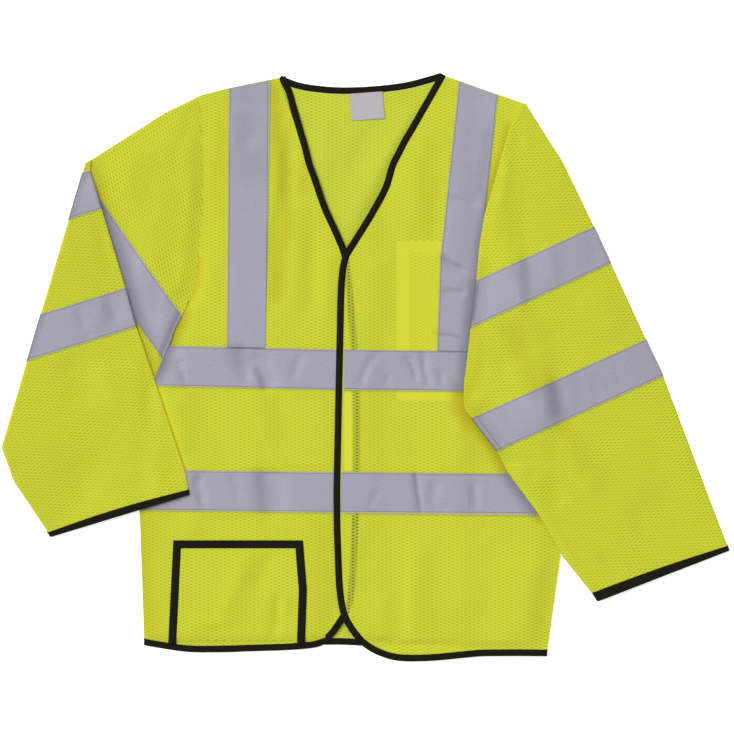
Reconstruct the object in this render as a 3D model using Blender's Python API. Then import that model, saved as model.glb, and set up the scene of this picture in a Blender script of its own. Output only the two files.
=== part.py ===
"""A hi-vis long-sleeve shirt, laid flat and face up: every piece that a maker cuts and sews.

Run with: blender --background --python part.py

The tables are in millimetres, on the surface that the shirt lies on: +X towards the wearer's left
side, +Y towards the neck, +Z up. The shirt is a stack of cloth. From the surface up come the tapes of
the back, the back, the right front, the left front, which overlaps it, their tapes, and the sleeves
where they lie over the fronts. Each layer is one wall of cloth, with a small gap to the next.

The wearer's right sleeve is folded once along a crease, so that its cuff end lies on its upper part.
The wearer's left sleeve is turned down, with its inner half as a pleat over the left front.
"""
import math
from functools import lru_cache

import bmesh
import bpy
from mathutils import Vector

MM = 0.001
CLOTH = 1.0              # the wall of the mesh cloth and of the tape
GAP = 0.3                # between two layers, and at each seam
LAYER = CLOTH + GAP
GRID = 30.0              # spacing of the lines along which the cloth may bend

TAPE = 50.8              # a two-inch tape
BINDING = 9.0            # the width of the bias binding
BINDING_WALL = 1.6       # the binding with the cloth's edge inside it
POCKET_BINDING = 10.5

BACK_LEVEL = LAYER                   # the undersides of the layers of the body
FRONT_LEVEL = 2 * LAYER
FRONT_TAPE_LEVEL = 3 * LAYER
TUBE = 2 * LAYER + CLOTH             # top of an empty sleeve over the tape below it

OVER_BODY = 4 * LAYER                # the tape under the right sleeve's cuff end, over the right front
OVER_LEFT_FRONT = 6.2                # the tape under the left sleeve, over the left front
PLEAT_AT_SHOULDER = 2.6              # the same at the shoulder, where no tape lies below
FOLD_ROUND = 1.0                     # how far the folded edge of a sleeve bulges
CREASE_ROUND = 5.0                   # the same for the crease of the right sleeve
CREASE_STRIP = 25.0                  # width that the layers share behind the crease
CREASE_STEP = 0.2                    # how far inside the layers that strip's faces lie
CREASE_LIFT = 4.0                    # how much higher the crease stands than the flat sleeve
SLEEVE_PUFF = 5.0                    # how far the upper wall of a sleeve stands off the lower one
UPPER_ARM_PUFF = 2.5
CUFF_END_PUFF = 4.0

WHOLE_SLEEVE = 2000.0                # longer than a sleeve
MOUTH = 5.0                          # how far a ring or a hollow runs out past an open edge
MOUTH_CUT = 10.0                     # the same for what cuts such a ring out
SEAM_INSET = 3.0                     # how far short of the armhole's seam a tape ends
STRIP_TOP = 6.0                      # how far the shared strip ends from the crease's top and foot
STRIP_FOOT = 3.0
STRIP_SKEW = 40.0                    # the strip's hidden corner runs this far down the sleeve
STRIP_NOSE = 2.0                     # the straight part of its end, beside the nose
STRIP_LAP = 5.0                      # how far that strip and the layers behind it run into each other
STRIP_TAPE = (12.0, 61.0)            # where the upper tape goes round the crease, from its top

# Where the cloth's soft slopes start and end, in millimetres from a line. Columns: start, end.
PLEAT_SLOPE = (10.0, 110.0)          # from the left shoulder down
LEFT_OFF_BODY = (25.0, 85.0)         # from the body's left side out
LEFT_FLATTENING = (380.0, 640.0)     # from the left shoulder to the cuff
LEFT_EDGE_SLOPE = (5.0, 80.0)        # from the left sleeve's folded edges in
BELOW_UPPER_ARM = (28.0, 90.0)       # from the folded upper arm down
RIGHT_OFF_BODY = (32.0, 95.0)        # from the body's right side out
RIGHT_EDGE_SLOPE = (5.0, 75.0)       # from the folded-over end's edges in
RIGHT_FLATTENING = (0.0, 110.0)      # from the foot of the crease to the cuff
CREASE_SLOPE = (10.0, 90.0)          # from the crease in
CLEAR_OF_CUFF_END = (35.0, 100.0)    # from the folded-over end to the shoulder
SEAM_SLOPE = (15.0, 70.0)            # from the right armhole's seam
UPPER_ARM_EDGE_SLOPE = (15.0, 60.0)  # from the upper arm's folded edges

# Columns: x, y. The bound edge of each front, from the shoulder down to the side seam.
RIGHT_FRONT_EDGE = (
    (-106.0, 384.0), (-83.2, 303.6), (-63.1, 248.4), (-49.1, 207.8),
    (-24.5, 152.0), (-16.5, 90.0), (-8.5, -20.0), (-7.9, -136.0),
    (-11.9, -254.8), (-17.0, -310.0), (-30.0, -337.0), (-50.2, -362.5),
    (-75.0, -371.5), (-140.0, -375.0), (-224.0, -376.5), (-262.0, -372.5), (-293.0, -367.2),
)
LEFT_FRONT_EDGE = (
    (97.7, 388.1), (55.7, 314.0), (30.1, 270.6), (20.7, 238.9), (-6.6, 189.7),
    (-30.4, 149.2), (-37.2, 105.0), (-38.4, 40.0), (-43.0, -160.0),
    (-41.4, -246.8), (-37.9, -304.9), (-28.4, -337.9), (-5.3, -367.6),
    (21.1, -382.0), (48.0, -388.0), (95.0, -387.0), (153.1, -381.5), (238.8, -381.5),
)
BACK_NECK_EDGE = (
    (-112.2, 384.8), (-87.1, 375.1), (-51.5, 370.1), (-21.0, 369.2), (13.2, 370.9),
    (55.4, 376.2), (97.7, 388.1),
)
BACK_HEM_EDGE = ((-293.0, -366.8), (-120.0, -367.5), (-29.0, -366.6), (110.0, -372.0), (238.8, -380.5))

# Columns: x, y. Shoulders and armholes run from the neck to the underarm, sides from there down.
RIGHT_SHOULDER = ((-179.5, 368.3), (-218.3, 358.5))
RIGHT_ARMHOLE = (
    (-218.3, 358.5), (-215.2, 281.2), (-214.6, 217.8), (-221.8, 139.9), (-227.7, 100.3), (-245.6, 71.3),
)
RIGHT_SIDE = (
    (-245.6, 71.3), (-267.3, 18.5), (-269.9, 1.3), (-279.2, -10.6), (-291.0, -40.0),
    (-298.8, -85.0), (-298.8, -189.6), (-293.0, -366.0),
)
LEFT_SHOULDER = ((172.9, 359.8), (210.7, 347.0))
LEFT_ARMHOLE = ((210.7, 347.0), (206.8, 240.0), (213.8, 140.0), (240.0, 55.0), (256.0, -10.6))
LEFT_SIDE = ((256.0, -10.6), (257.0, -140.0), (256.7, -250.0), (238.8, -380.0))

# Columns: x, height above the right front's level. How the left front climbs over the pocket bag
# and the right front's edge.
LEFT_FRONT_CLIMB = ((0.0, 2 * LAYER), (30.0, LAYER), (120.0, LAYER), (150.0, 0.0))

# Columns: x, y, edge from here on: fold, open or crease. Counter-clockwise as seen from above.
LEFT_SLEEVE = (
    (203.3, 340.6, "fold"), (188.8, 314.2, "fold"), (176.9, 273.2, "fold"), (166.3, 235.0, "fold"),
    (155.8, 200.0, "fold"), (149.2, 159.1, "fold"), (145.2, 112.2, "fold"), (137.3, 47.5, "fold"),
    (128.9, -25.0, "fold"), (130.0, -54.1, "fold"), (141.1, -69.7, "fold"), (172.4, -111.1, "fold"),
    (187.4, -139.9, "fold"), (227.0, -194.0, "fold"), (258.3, -248.6, "fold"), (305.8, -309.1, "open"),
    (479.2, -242.4, "fold"), (391.4, -10.6, "fold"), (369.6, 35.6, "fold"), (301.0, 184.1, "fold"),
    (258.7, 271.3, "fold"), (210.7, 347.0, "fold"),
)
CREASE_TOP = (-370.3, 268.6)
CREASE_FOOT = (-480.6, -106.0)
UNDERARM = (-281.2, -10.6)
RIGHT_UPPER_ARM = (
    CREASE_TOP + ("crease",), CREASE_FOOT + ("fold",),
    UNDERARM + ("fold",), (-271.9, 1.3, "fold"), (-269.3, 18.5, "fold"), (-247.6, 71.3, "open"),
    (-228.0, 100.3, "open"), (-222.1, 139.9, "open"), (-214.9, 217.8, "open"), (-215.5, 281.2, "open"),
    (-218.6, 358.5, "fold"), (-265.3, 335.3, "fold"),
)
RIGHT_CUFF_END = (
    CREASE_TOP + ("crease",), CREASE_FOOT + ("fold",),
    (-464.4, -150.5, "fold"), (-415.8, -224.4, "open"), (-233.0, -168.6, "fold"),
    (-238.9, -138.1, "fold"), (-261.4, -70.0, "fold"), (-281.2, -10.6, "fold"), (-303.2, 53.5, "fold"),
    (-316.9, 103.0, "fold"), (-349.4, 211.5, "fold"), (-363.5, 257.9, "fold"),
)

# Columns: name, a point on the edge nearer the shoulder, direction of that edge.
LEFT_BANDS = (
    ("sleeve_left_tape_upper", (301.0, 184.1), (155.8, 71.6)),
    ("sleeve_left_tape_lower", (370.1, 35.6), (229.5, 103.8)),
)
# Columns: a point on the line, its direction.
LEFT_CUFF_LINE = ((305.8, -309.1), (173.4, 66.7))
RIGHT_CUFF_LINE = ((-415.8, -224.4), (182.8, 55.8))
RIGHT_UPPER_BAND_ON_ARM = ((-247.6, 71.3), (101.1, -144.0))
RIGHT_UPPER_BAND_ON_CUFF_END = ((-363.5, 257.9), (109.6, 34.1))
RIGHT_LOWER_BAND = ((-316.9, 103.0), (109.6, 34.1))

# Columns: start, end. Lines that the sleeves' slopes are measured from.
LEFT_BODY_LINE = ((262.0, -250.0), (216.0, 347.0))
LEFT_SHOULDER_LINE = ((210.7, 347.0), (188.0, 337.0))
RIGHT_BODY_SIDE = -298.8
BELOW_CREASE_FOOT = (CREASE_FOOT, (-300.0, -52.0))
CUFF_END_INNER_LINE = ((-233.0, -168.6), (-363.5, 257.9))

# How far out of the crease a layer's outline ends, inside the strip that the layers share. The key
# is how far that layer is grown.
CREASE_INSETS = {0.0: -7.0, -CLOTH: -7.0, GAP: -6.0, LAYER: -8.0, BINDING_WALL - CLOTH: -7.0}

PATCH_POCKET = ((-260.7, -361.0), (-254.1, -228.5), (-83.2, -228.5), (-78.0, -294.0), (-80.3, -361.0))
CHEST_POCKET = ((41.0, -43.5), (113.0, -43.5), (113.0, 165.0), (41.0, 165.0))
LABEL = ((-19.0, 325.0), (24.5, 328.0), (21.6, 363.5), (-21.9, 360.5))
CLOSURE = ((-28.4, -136.5), (-19.2, -136.5), (-19.2, -32.5), (-28.4, -32.5))

# Columns: sRGB colour, roughness.
FINISHES = {
    "mesh_fabric": ("C6CC34", 0.85),
    "reflective_tape": ("A5A2B0", 0.45),
    "binding": ("1E1F16", 0.8),
    "label": ("C8C2CB", 0.7),
    "hook_and_loop": ("C9CC3A", 0.9),
}


def linear(hex_colour):
    """An sRGB hex colour as linear red, green, blue and alpha."""
    parts = [int(hex_colour[i:i + 2], 16) / 255 for i in (0, 2, 4)]
    return [p / 12.92 if p <= 0.04045 else ((p + 0.055) / 1.055) ** 2.4 for p in parts] + [1.0]


def ramp(value, start, end):
    """0 before start, 1 after end, and a soft slope between them."""
    share = min(max((value - start) / (end - start), 0.0), 1.0)
    return share * share * (3.0 - 2.0 * share)


def left_of(start, end, x, y):
    """How far a point lies to the left of the line from start to end."""
    along = (Vector(end) - Vector(start)).normalized()
    return along.x * (y - start[1]) - along.y * (x - start[0])


def off_line(points, x, y):
    """How far a point is from an open line through some points."""
    here = Vector((x, y))
    nearest = math.inf
    for start, end in zip(points, points[1:]):
        first = Vector(start[:2])
        span = Vector(end[:2]) - first
        share = min(max((here - first).dot(span) / span.length_squared, 0.0), 1.0)
        nearest = min(nearest, (here - first - span * share).length)
    return nearest


def folds(part):
    """The runs of folded edge of a sleeve part, as open lines."""
    runs = []
    for start, end in zip(part, part[1:] + part[:1]):
        if start[2] != "fold":
            continue
        if runs and runs[-1][-1] == start:
            runs[-1].append(end)
        else:
            runs.append([start, end])
    return runs


def off_folds(part, x, y):
    """How far a point is from the nearest folded edge of a sleeve part."""
    return min(off_line(run, x, y) for run in folds(part))


# Height fields. Each gives a height at the corners of the grid, and the cloth is straight between
# them, so that every layer made from the same field keeps its gap to the next.

@lru_cache(maxsize=None)
def left_front_level(x, _):
    """The underside of the left front."""
    climb = LEFT_FRONT_CLIMB[0][1]
    for (x0, h0), (x1, h1) in zip(LEFT_FRONT_CLIMB, LEFT_FRONT_CLIMB[1:]):
        if x >= x0:
            climb = h0 + (h1 - h0) * min((x - x0) / (x1 - x0), 1.0)
    return FRONT_LEVEL + climb


@lru_cache(maxsize=None)
def left_sleeve_base(x, y):
    """What the left sleeve lies on: high over the front, and down on the surface beside it."""
    off_body = -left_of(*LEFT_BODY_LINE, x, y)
    down = LEFT_SHOULDER[-1][1] - y
    height = PLEAT_AT_SHOULDER + (OVER_LEFT_FRONT - PLEAT_AT_SHOULDER) * ramp(down, *PLEAT_SLOPE)
    return height * (1.0 - ramp(off_body, *LEFT_OFF_BODY))


@lru_cache(maxsize=None)
def left_sleeve_puff(x, y):
    """How far the left sleeve's upper wall stands off the lower one, beyond a gap."""
    towards_cuff = left_of(*LEFT_SHOULDER_LINE, x, y)
    full = SLEEVE_PUFF * (1.0 - 0.6 * ramp(towards_cuff, *LEFT_FLATTENING))
    return full * ramp(off_folds(LEFT_SLEEVE, x, y), *LEFT_EDGE_SLOPE)


@lru_cache(maxsize=None)
def cuff_end_base(x, y):
    """What the folded-over end of the right sleeve lies on."""
    below_upper_arm = -left_of(CREASE_FOOT, UNDERARM, x, y)
    off_body = RIGHT_BODY_SIDE - x
    on_nothing = min(ramp(below_upper_arm, *BELOW_UPPER_ARM), ramp(off_body, *RIGHT_OFF_BODY))
    return OVER_BODY * (1.0 - on_nothing)


@lru_cache(maxsize=None)
def cuff_end_puff(x, y):
    """How far the folded-over end's upper wall stands off the lower one, most at the crease."""
    from_crease = left_of(CREASE_TOP, CREASE_FOOT, x, y)
    towards_cuff = -left_of(*BELOW_CREASE_FOOT, x, y)
    full = CUFF_END_PUFF * (1.0 - 0.7 * ramp(towards_cuff, *RIGHT_FLATTENING))
    return full * ramp(off_folds(RIGHT_CUFF_END, x, y), *RIGHT_EDGE_SLOPE) \
        + CREASE_LIFT * (1.0 - ramp(from_crease, *CREASE_SLOPE))


@lru_cache(maxsize=None)
def upper_arm_puff(x, y):
    """The same for the upper arm, flat where the folded-over end lies on it."""
    clear = -left_of(*CUFF_END_INNER_LINE, x, y)
    seam = off_line(RIGHT_ARMHOLE, x, y)
    edge = off_folds(RIGHT_UPPER_ARM, x, y)
    return UPPER_ARM_PUFF * ramp(clear, *CLEAR_OF_CUFF_END) * ramp(seam, *SEAM_SLOPE) \
        * ramp(edge, *UPPER_ARM_EDGE_SLOPE)


def level(height, *fields):
    """A surface at a height over some fields, straight across each triangle of the grid."""
    def corner(x, y):
        return sum(field(x, y) for field in fields)

    def surface(x, y):
        i = math.floor(x / GRID)
        j = math.floor(y / GRID)
        across = x / GRID - i
        along = y / GRID - j
        near = corner(i * GRID, j * GRID)
        far = corner((i + 1) * GRID, (j + 1) * GRID)
        if across > along:
            side = corner((i + 1) * GRID, j * GRID)
            return height + near + across * (side - near) + along * (far - side)
        side = corner(i * GRID, (j + 1) * GRID)
        return height + near + along * (side - near) + across * (far - side)
    return surface


def smooth_line(points, steps):
    """A soft curve through the points, in so many steps from each to the next."""
    line = []
    for i in range(len(points) - 1):
        before = Vector(points[max(i - 1, 0)])
        start = Vector(points[i])
        end = Vector(points[i + 1])
        after = Vector(points[min(i + 2, len(points) - 1)])
        for step in range(steps):
            t = step / steps
            square = 2 * before - 5 * start + 4 * end - after
            cube = 3 * start - before - 3 * end + after
            spot = 0.5 * (2 * start + (end - before) * t + square * t ** 2 + cube * t ** 3)
            line.append((spot.x, spot.y))
    line.append(tuple(points[-1]))
    return line


def beside(line, distance):
    """An open line moved sideways, to the left of the way that it runs."""
    moved = []
    for i, spot in enumerate(line):
        here = Vector(spot)
        came = (here - Vector(line[i - 1])).normalized() if i else None
        goes = (Vector(line[i + 1]) - here).normalized() if i < len(line) - 1 else came
        came = came or goes
        left = Vector((-came.y - goes.y, came.x + goes.x)) / (1.0 + came.dot(goes))
        moved.append(tuple(here + left * distance))
    return moved


def grown(part, folded, opened, creased):
    """A sleeve part's outline with its folded, open and creased edges moved outwards."""
    moves = {"fold": folded, "open": opened, "crease": creased}
    outline = []
    for i, (x, y, kind) in enumerate(part):
        here = Vector((x, y))
        came = (here - Vector(part[i - 1][:2])).normalized()
        goes = (Vector(part[(i + 1) % len(part)][:2]) - here).normalized()
        out_before = moves[part[i - 1][2]]
        out_after = moves[kind]
        first = Vector((came.y, -came.x))
        second = Vector((goes.y, -goes.x))
        turn = came.x * goes.y - came.y * goes.x
        if abs(turn) < 0.05:
            outline.append(here + (first * out_before + second * out_after) / 2)
            continue
        outline.append(here + (goes * out_before - came * out_after) / -turn)
    return [tuple(spot) for spot in outline]


def slab(outline, under, over, keep=(), bends=True):
    """A closed bmesh between two surfaces. keep is a list of lines (point, direction): what lies to
    the left of each is kept."""
    mesh = bmesh.new()
    mesh.faces.new([mesh.verts.new((x, y, 0.0)) for x, y in outline])
    planes = [(spot, (along[1], -along[0]), True) for spot, along in keep]
    if bends:
        xs = [x for x, _ in outline]
        ys = [y for _, y in outline]
        for normal, values in (((1, 0), xs), ((0, 1), ys), ((1, -1), [x - y for x, y in outline])):
            first = math.floor(min(values) / GRID)
            last = math.ceil(max(values) / GRID)
            for k in range(first, last + 1):
                spot = (0.0, k * GRID) if normal == (0, 1) else (k * GRID, 0.0)
                planes.append((spot, normal, False))
    for spot, normal, clear in planes:
        geometry = mesh.verts[:] + mesh.edges[:] + mesh.faces[:]
        bmesh.ops.bisect_plane(mesh, geom=geometry, dist=0.001, plane_co=(*spot, 0.0),
                               plane_no=(*normal, 0.0), clear_outer=clear)
    lower = mesh.verts[:]
    raised = bmesh.ops.extrude_face_region(mesh, geom=mesh.faces[:])["geom"]
    upper = [item for item in raised if isinstance(item, bmesh.types.BMVert)]
    for vert in lower:
        vert.co.z = under(vert.co.x, vert.co.y)
    for vert in upper:
        vert.co.z = over(vert.co.x, vert.co.y)
    bmesh.ops.recalc_face_normals(mesh, faces=mesh.faces[:])
    return mesh


def round_edge(mesh, part, bulge, steps):
    """Rounds the upright walls of a slab that lie along a sleeve part's folded edges."""
    upright = [edge for edge in mesh.edges
               if (edge.verts[0].co.xy - edge.verts[1].co.xy).length < 0.001]
    found = bmesh.ops.subdivide_edges(mesh, edges=upright, cuts=steps, use_grid_fill=False)
    middle = {item for item in found["geom_inner"] if isinstance(item, bmesh.types.BMVert)}
    spans = {}
    for vert in mesh.verts:
        key = (round(vert.co.x, 2), round(vert.co.y, 2))
        spans.setdefault(key, []).append(vert.co.z)
    outline = grown(part, 0.0, 0.0, 0.0)
    moves = []
    for vert in middle:
        low = min(spans[(round(vert.co.x, 2), round(vert.co.y, 2))])
        high = max(spans[(round(vert.co.x, 2), round(vert.co.y, 2))])
        height = 2.0 * (vert.co.z - low) / (high - low) - 1.0
        outwards = Vector((0.0, 0.0))
        ends = False
        for i, (x, y, kind) in enumerate(part):
            edge = (outline[i], outline[(i + 1) % len(part)])
            if off_line(edge, vert.co.x, vert.co.y) > bulge + 0.05:
                continue
            along = (Vector(edge[1]) - Vector(edge[0])).normalized()
            if kind == "fold":
                outwards += Vector((along.y, -along.x))
            else:
                ends = True
        if outwards.length > 0 and not ends:
            moves.append((vert, outwards.normalized() * bulge * math.sqrt(1.0 - height * height)))
    for vert, move in moves:
        vert.co.xy += move


def place(name, mesh, finish=None):
    """Makes an object of a bmesh in millimetres, in metres."""
    bmesh.ops.scale(mesh, vec=(MM, MM, MM), verts=mesh.verts[:])
    bmesh.ops.recalc_face_normals(mesh, faces=mesh.faces[:])
    data = bpy.data.meshes.new(name)
    mesh.to_mesh(data)
    mesh.free()
    made = bpy.data.objects.new(name, data)
    bpy.context.scene.collection.objects.link(made)
    if finish:
        data.materials.append(MATERIALS[finish])
    return made


def combine(name, shapes, cutters, finish):
    """One solid: the shapes joined, less the cutters."""
    objects = [place(f"{name}.{i}", shape) for i, shape in enumerate(list(shapes) + list(cutters))]
    base = objects[0]
    for i, other in enumerate(objects[1:], start=1):
        step = base.modifiers.new(other.name, "BOOLEAN")
        step.object = other
        step.operation = "UNION" if i < len(shapes) else "DIFFERENCE"
        step.solver = "EXACT"
    bpy.context.view_layer.update()
    evaluated = base.evaluated_get(bpy.context.evaluated_depsgraph_get())
    mesh = bmesh.new()
    mesh.from_mesh(bpy.data.meshes.new_from_object(evaluated))
    bmesh.ops.remove_doubles(mesh, verts=mesh.verts[:], dist=0.000002)
    bmesh.ops.scale(mesh, vec=(1 / MM, 1 / MM, 1 / MM), verts=mesh.verts[:])
    for used in objects:
        bpy.data.objects.remove(used)
    return place(name, mesh, finish)


def flat_piece(name, outline, height, wall, finish):
    """A flat piece of cloth at one height."""
    return place(name, slab(outline, level(height), level(height + wall), bends=False), finish)


def left_front_piece(name, outline, height, wall, finish):
    """A piece of, or on, the left front, at a height above its underside."""
    under = level(height, left_front_level)
    return place(name, slab(outline, under, level(height + wall, left_front_level)), finish)


def back():
    """The back with its bound neck and hem, and the tapes on its outer side, which is below."""
    neck = smooth_line(BACK_NECK_EDGE, 2)
    hem = smooth_line(BACK_HEM_EDGE, 3)
    outline = beside(neck, -BINDING - GAP) + list(LEFT_SHOULDER[:1]) + smooth_line(LEFT_ARMHOLE, 2) \
        + list(LEFT_SIDE[1:-1]) + beside(hem, BINDING + GAP)[::-1] + list(RIGHT_SIDE[-2:0:-1]) \
        + smooth_line(RIGHT_ARMHOLE, 2)[::-1] + list(RIGHT_SHOULDER[:1])
    flat_piece("back_panel", outline, BACK_LEVEL, CLOTH, "mesh_fabric")
    bound = BACK_LEVEL + CLOTH - BINDING_WALL
    flat_piece("binding_back_neck", neck + beside(neck, -BINDING)[::-1], bound, BINDING_WALL, "binding")
    flat_piece("binding_back_hem", hem + beside(hem, BINDING)[::-1], bound, BINDING_WALL, "binding")
    tapes = (
        ("back_brace_right", ((-179.0, 368.0), (-182.0, 24.3), (-134.0, 24.3), (-128.0, 378.0))),
        ("back_brace_left", ((123.4, 375.0), (96.0, 24.3), (146.0, 24.3), (172.5, 359.0))),
        ("back_chest_tape", ((-263.0, 24.0), (-282.0, 24.0 - TAPE), (256.0, 24.0 - TAPE), (247.0, 24.0))),
        ("back_waist_tape", ((-298.0, -139.0), (-298.0, -139.0 - TAPE), (256.6, -139.0 - TAPE),
                             (256.6, -139.0))),
    )
    for name, outline in tapes:
        flat_piece(name, outline, 0.0, CLOTH, "reflective_tape")


def right_front():
    """The right front, which lies under the left one at the centre."""
    edge = smooth_line(RIGHT_FRONT_EDGE, 2)
    outline = beside(edge, -BINDING - GAP) + list(RIGHT_SIDE[-2:0:-1]) \
        + smooth_line(RIGHT_ARMHOLE, 2)[::-1] + list(RIGHT_SHOULDER[:1])
    flat_piece("front_right", outline, FRONT_LEVEL, CLOTH, "mesh_fabric")
    flat_piece("binding_front_right", edge + beside(edge, -BINDING)[::-1], FRONT_LEVEL, BINDING_WALL,
               "binding")
    tapes = (
        ("brace_right", ((-179.5, 367.3), (-182.2, 27.1), (-134.6, 26.2), (-127.4, 378.5))),
        ("chest_tape_right", ((-262.5, 26.8), (-282.0, -23.8), (-20.0, -28.9), (-22.0, 21.2))),
        ("waist_tape_right", ((-298.0, -136.8), (-298.0, -187.6), (-19.2, -191.2), (-19.2, -140.2))),
    )
    for name, shape in tapes:
        flat_piece(name, shape, FRONT_TAPE_LEVEL, CLOTH, "reflective_tape")
    flat_piece("closure_strip", CLOSURE, FRONT_TAPE_LEVEL, CLOTH, "hook_and_loop")


def patch_pocket():
    """The bound patch pocket on the right front, caught in the hem below."""
    binding = list(PATCH_POCKET) + beside(PATCH_POCKET, -POCKET_BINDING)[::-1]
    flat_piece("pocket_binding", binding, FRONT_TAPE_LEVEL, BINDING_WALL, "binding")
    flat_piece("pocket_patch", beside(PATCH_POCKET, -POCKET_BINDING - GAP), FRONT_TAPE_LEVEL, CLOTH,
               "mesh_fabric")


def left_front():
    """The left front, which climbs over the pocket bag behind it and over the right front's edge."""
    edge = smooth_line(LEFT_FRONT_EDGE, 2)
    outline = beside(edge, BINDING + GAP) + list(LEFT_SIDE[-2:0:-1]) \
        + smooth_line(LEFT_ARMHOLE, 2)[::-1] + list(LEFT_SHOULDER[:1])
    left_front_piece("front_left", outline, 0.0, CLOTH, "mesh_fabric")
    left_front_piece("binding_front_left", edge + beside(edge, BINDING)[::-1], 0.0, BINDING_WALL, "binding")
    tapes = (
        ("brace_left", ((123.8, 376.5), (99.0, 141.2), (95.0, 20.2), (145.0, 19.4), (147.8, 141.0),
                        (172.4, 359.0))),
        ("chest_tape_left", ((-28.6, 21.3), (-29.2, -28.8), (130.7, -31.4), (255.6, -33.0), (248.8, 18.0),
                             (130.7, 19.2))),
        ("waist_tape_left", ((-32.5, -139.8), (-33.4, -191.1), (227.0, -195.0), (256.4, -195.4),
                             (256.6, -142.4), (187.0, -141.3))),
    )
    for name, shape in tapes:
        left_front_piece(name, shape, LAYER, CLOTH, "reflective_tape")


def between_the_fronts():
    """The pocket bag behind the left front, and the label in the neck."""
    flat_piece("chest_pocket", CHEST_POCKET, FRONT_LEVEL, CLOTH, "mesh_fabric")
    flat_piece("neck_label", LABEL, FRONT_LEVEL, CLOTH, "label")


def sleeve_shape(part, out, base, puff, opened=0.0, keep=(), rounded=False):
    """A flat sleeve part as one slab, grown outwards and up and down by out."""
    bulge = FOLD_ROUND if rounded or out < 0 else 0.0
    outline = grown(part, out - bulge, opened, CREASE_INSETS[out])
    mesh = slab(outline, level(LAYER - out, *base), level(TUBE + out, *base, *puff), keep)
    if rounded:
        round_edge(mesh, part, bulge, 2)
    return mesh


def band_lines(spot, along, start, end):
    """The two lines between which a strip of a sleeve lies, from start to end below a line."""
    along = Vector(along).normalized()
    down = Vector((along.y, -along.x))
    near = Vector(spot) + down * start
    far = Vector(spot) + down * end
    return [(tuple(near), tuple(-along)), (tuple(far), tuple(along))]


def left_sleeve():
    """The left sleeve, flat and open at its cuff, with its tapes and its cuff binding round it."""
    base = (left_sleeve_base,)
    puff = (left_sleeve_puff,)
    above_cuff = band_lines(*LEFT_CUFF_LINE, -WHOLE_SLEEVE, -BINDING - 2 * GAP)
    wall = sleeve_shape(LEFT_SLEEVE, 0.0, base, puff, keep=above_cuff, rounded=True)
    hollow = sleeve_shape(LEFT_SLEEVE, -CLOTH, base, puff, opened=MOUTH)
    combine("sleeve_left", [wall], [hollow], "mesh_fabric")
    for name, spot, along in LEFT_BANDS:
        keep = band_lines(spot, along, 0.0, TAPE)
        ring = sleeve_shape(LEFT_SLEEVE, LAYER, base, puff, keep=keep)
        inside = sleeve_shape(LEFT_SLEEVE, GAP, base, puff)
        combine(name, [ring], [inside], "reflective_tape")
    keep = band_lines(*LEFT_CUFF_LINE, -BINDING, 0.0)
    ring = sleeve_shape(LEFT_SLEEVE, BINDING_WALL - CLOTH, base, puff, opened=MOUTH, keep=keep)
    mouth = sleeve_shape(LEFT_SLEEVE, -CLOTH, base, puff, opened=MOUTH_CUT)
    combine("cuff_binding_left", [ring], [mouth], "binding")


def crease_strip(out, width, keep=()):
    """The rounded strip behind the crease that the folded layers share."""
    down = (Vector(CREASE_FOOT) - Vector(CREASE_TOP)).normalized()
    inwards = Vector((-down.y, down.x))
    top = Vector(CREASE_TOP) + down * (STRIP_TOP - 3.0 * out)
    foot = Vector(CREASE_FOOT) - down * (STRIP_FOOT - out)
    near = inwards * (CREASE_ROUND - out)
    far = inwards * width
    corner = top + far + down * STRIP_SKEW
    strip = [top + near, foot + near, foot + far, corner, top + near + inwards * STRIP_NOSE]
    under = LAYER + CREASE_STEP - out
    mesh = slab([tuple(spot) for spot in strip], level(under),
                level(TUBE - CREASE_STEP + out, cuff_end_base, cuff_end_puff), keep)
    nose = [edge for edge in mesh.edges
            if (edge.verts[0].co.xy - edge.verts[1].co.xy).length < 0.001
            and abs((edge.verts[0].co.xy - top - near).dot(inwards)) < 0.01]
    heights = {}
    for edge in nose:
        spot = edge.verts[0].co
        heights[(round(spot.x, 2), round(spot.y, 2))] = max(vert.co.z for vert in edge.verts)
    for item in bmesh.ops.subdivide_edges(mesh, edges=nose, cuts=5)["geom_inner"]:
        if isinstance(item, bmesh.types.BMVert):
            over = heights[(round(item.co.x, 2), round(item.co.y, 2))]
            share = 2.0 * (item.co.z - under) / (over - under) - 1.0
            item.co.xy -= inwards * CREASE_ROUND * math.sqrt(1.0 - share * share)
    return mesh


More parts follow.
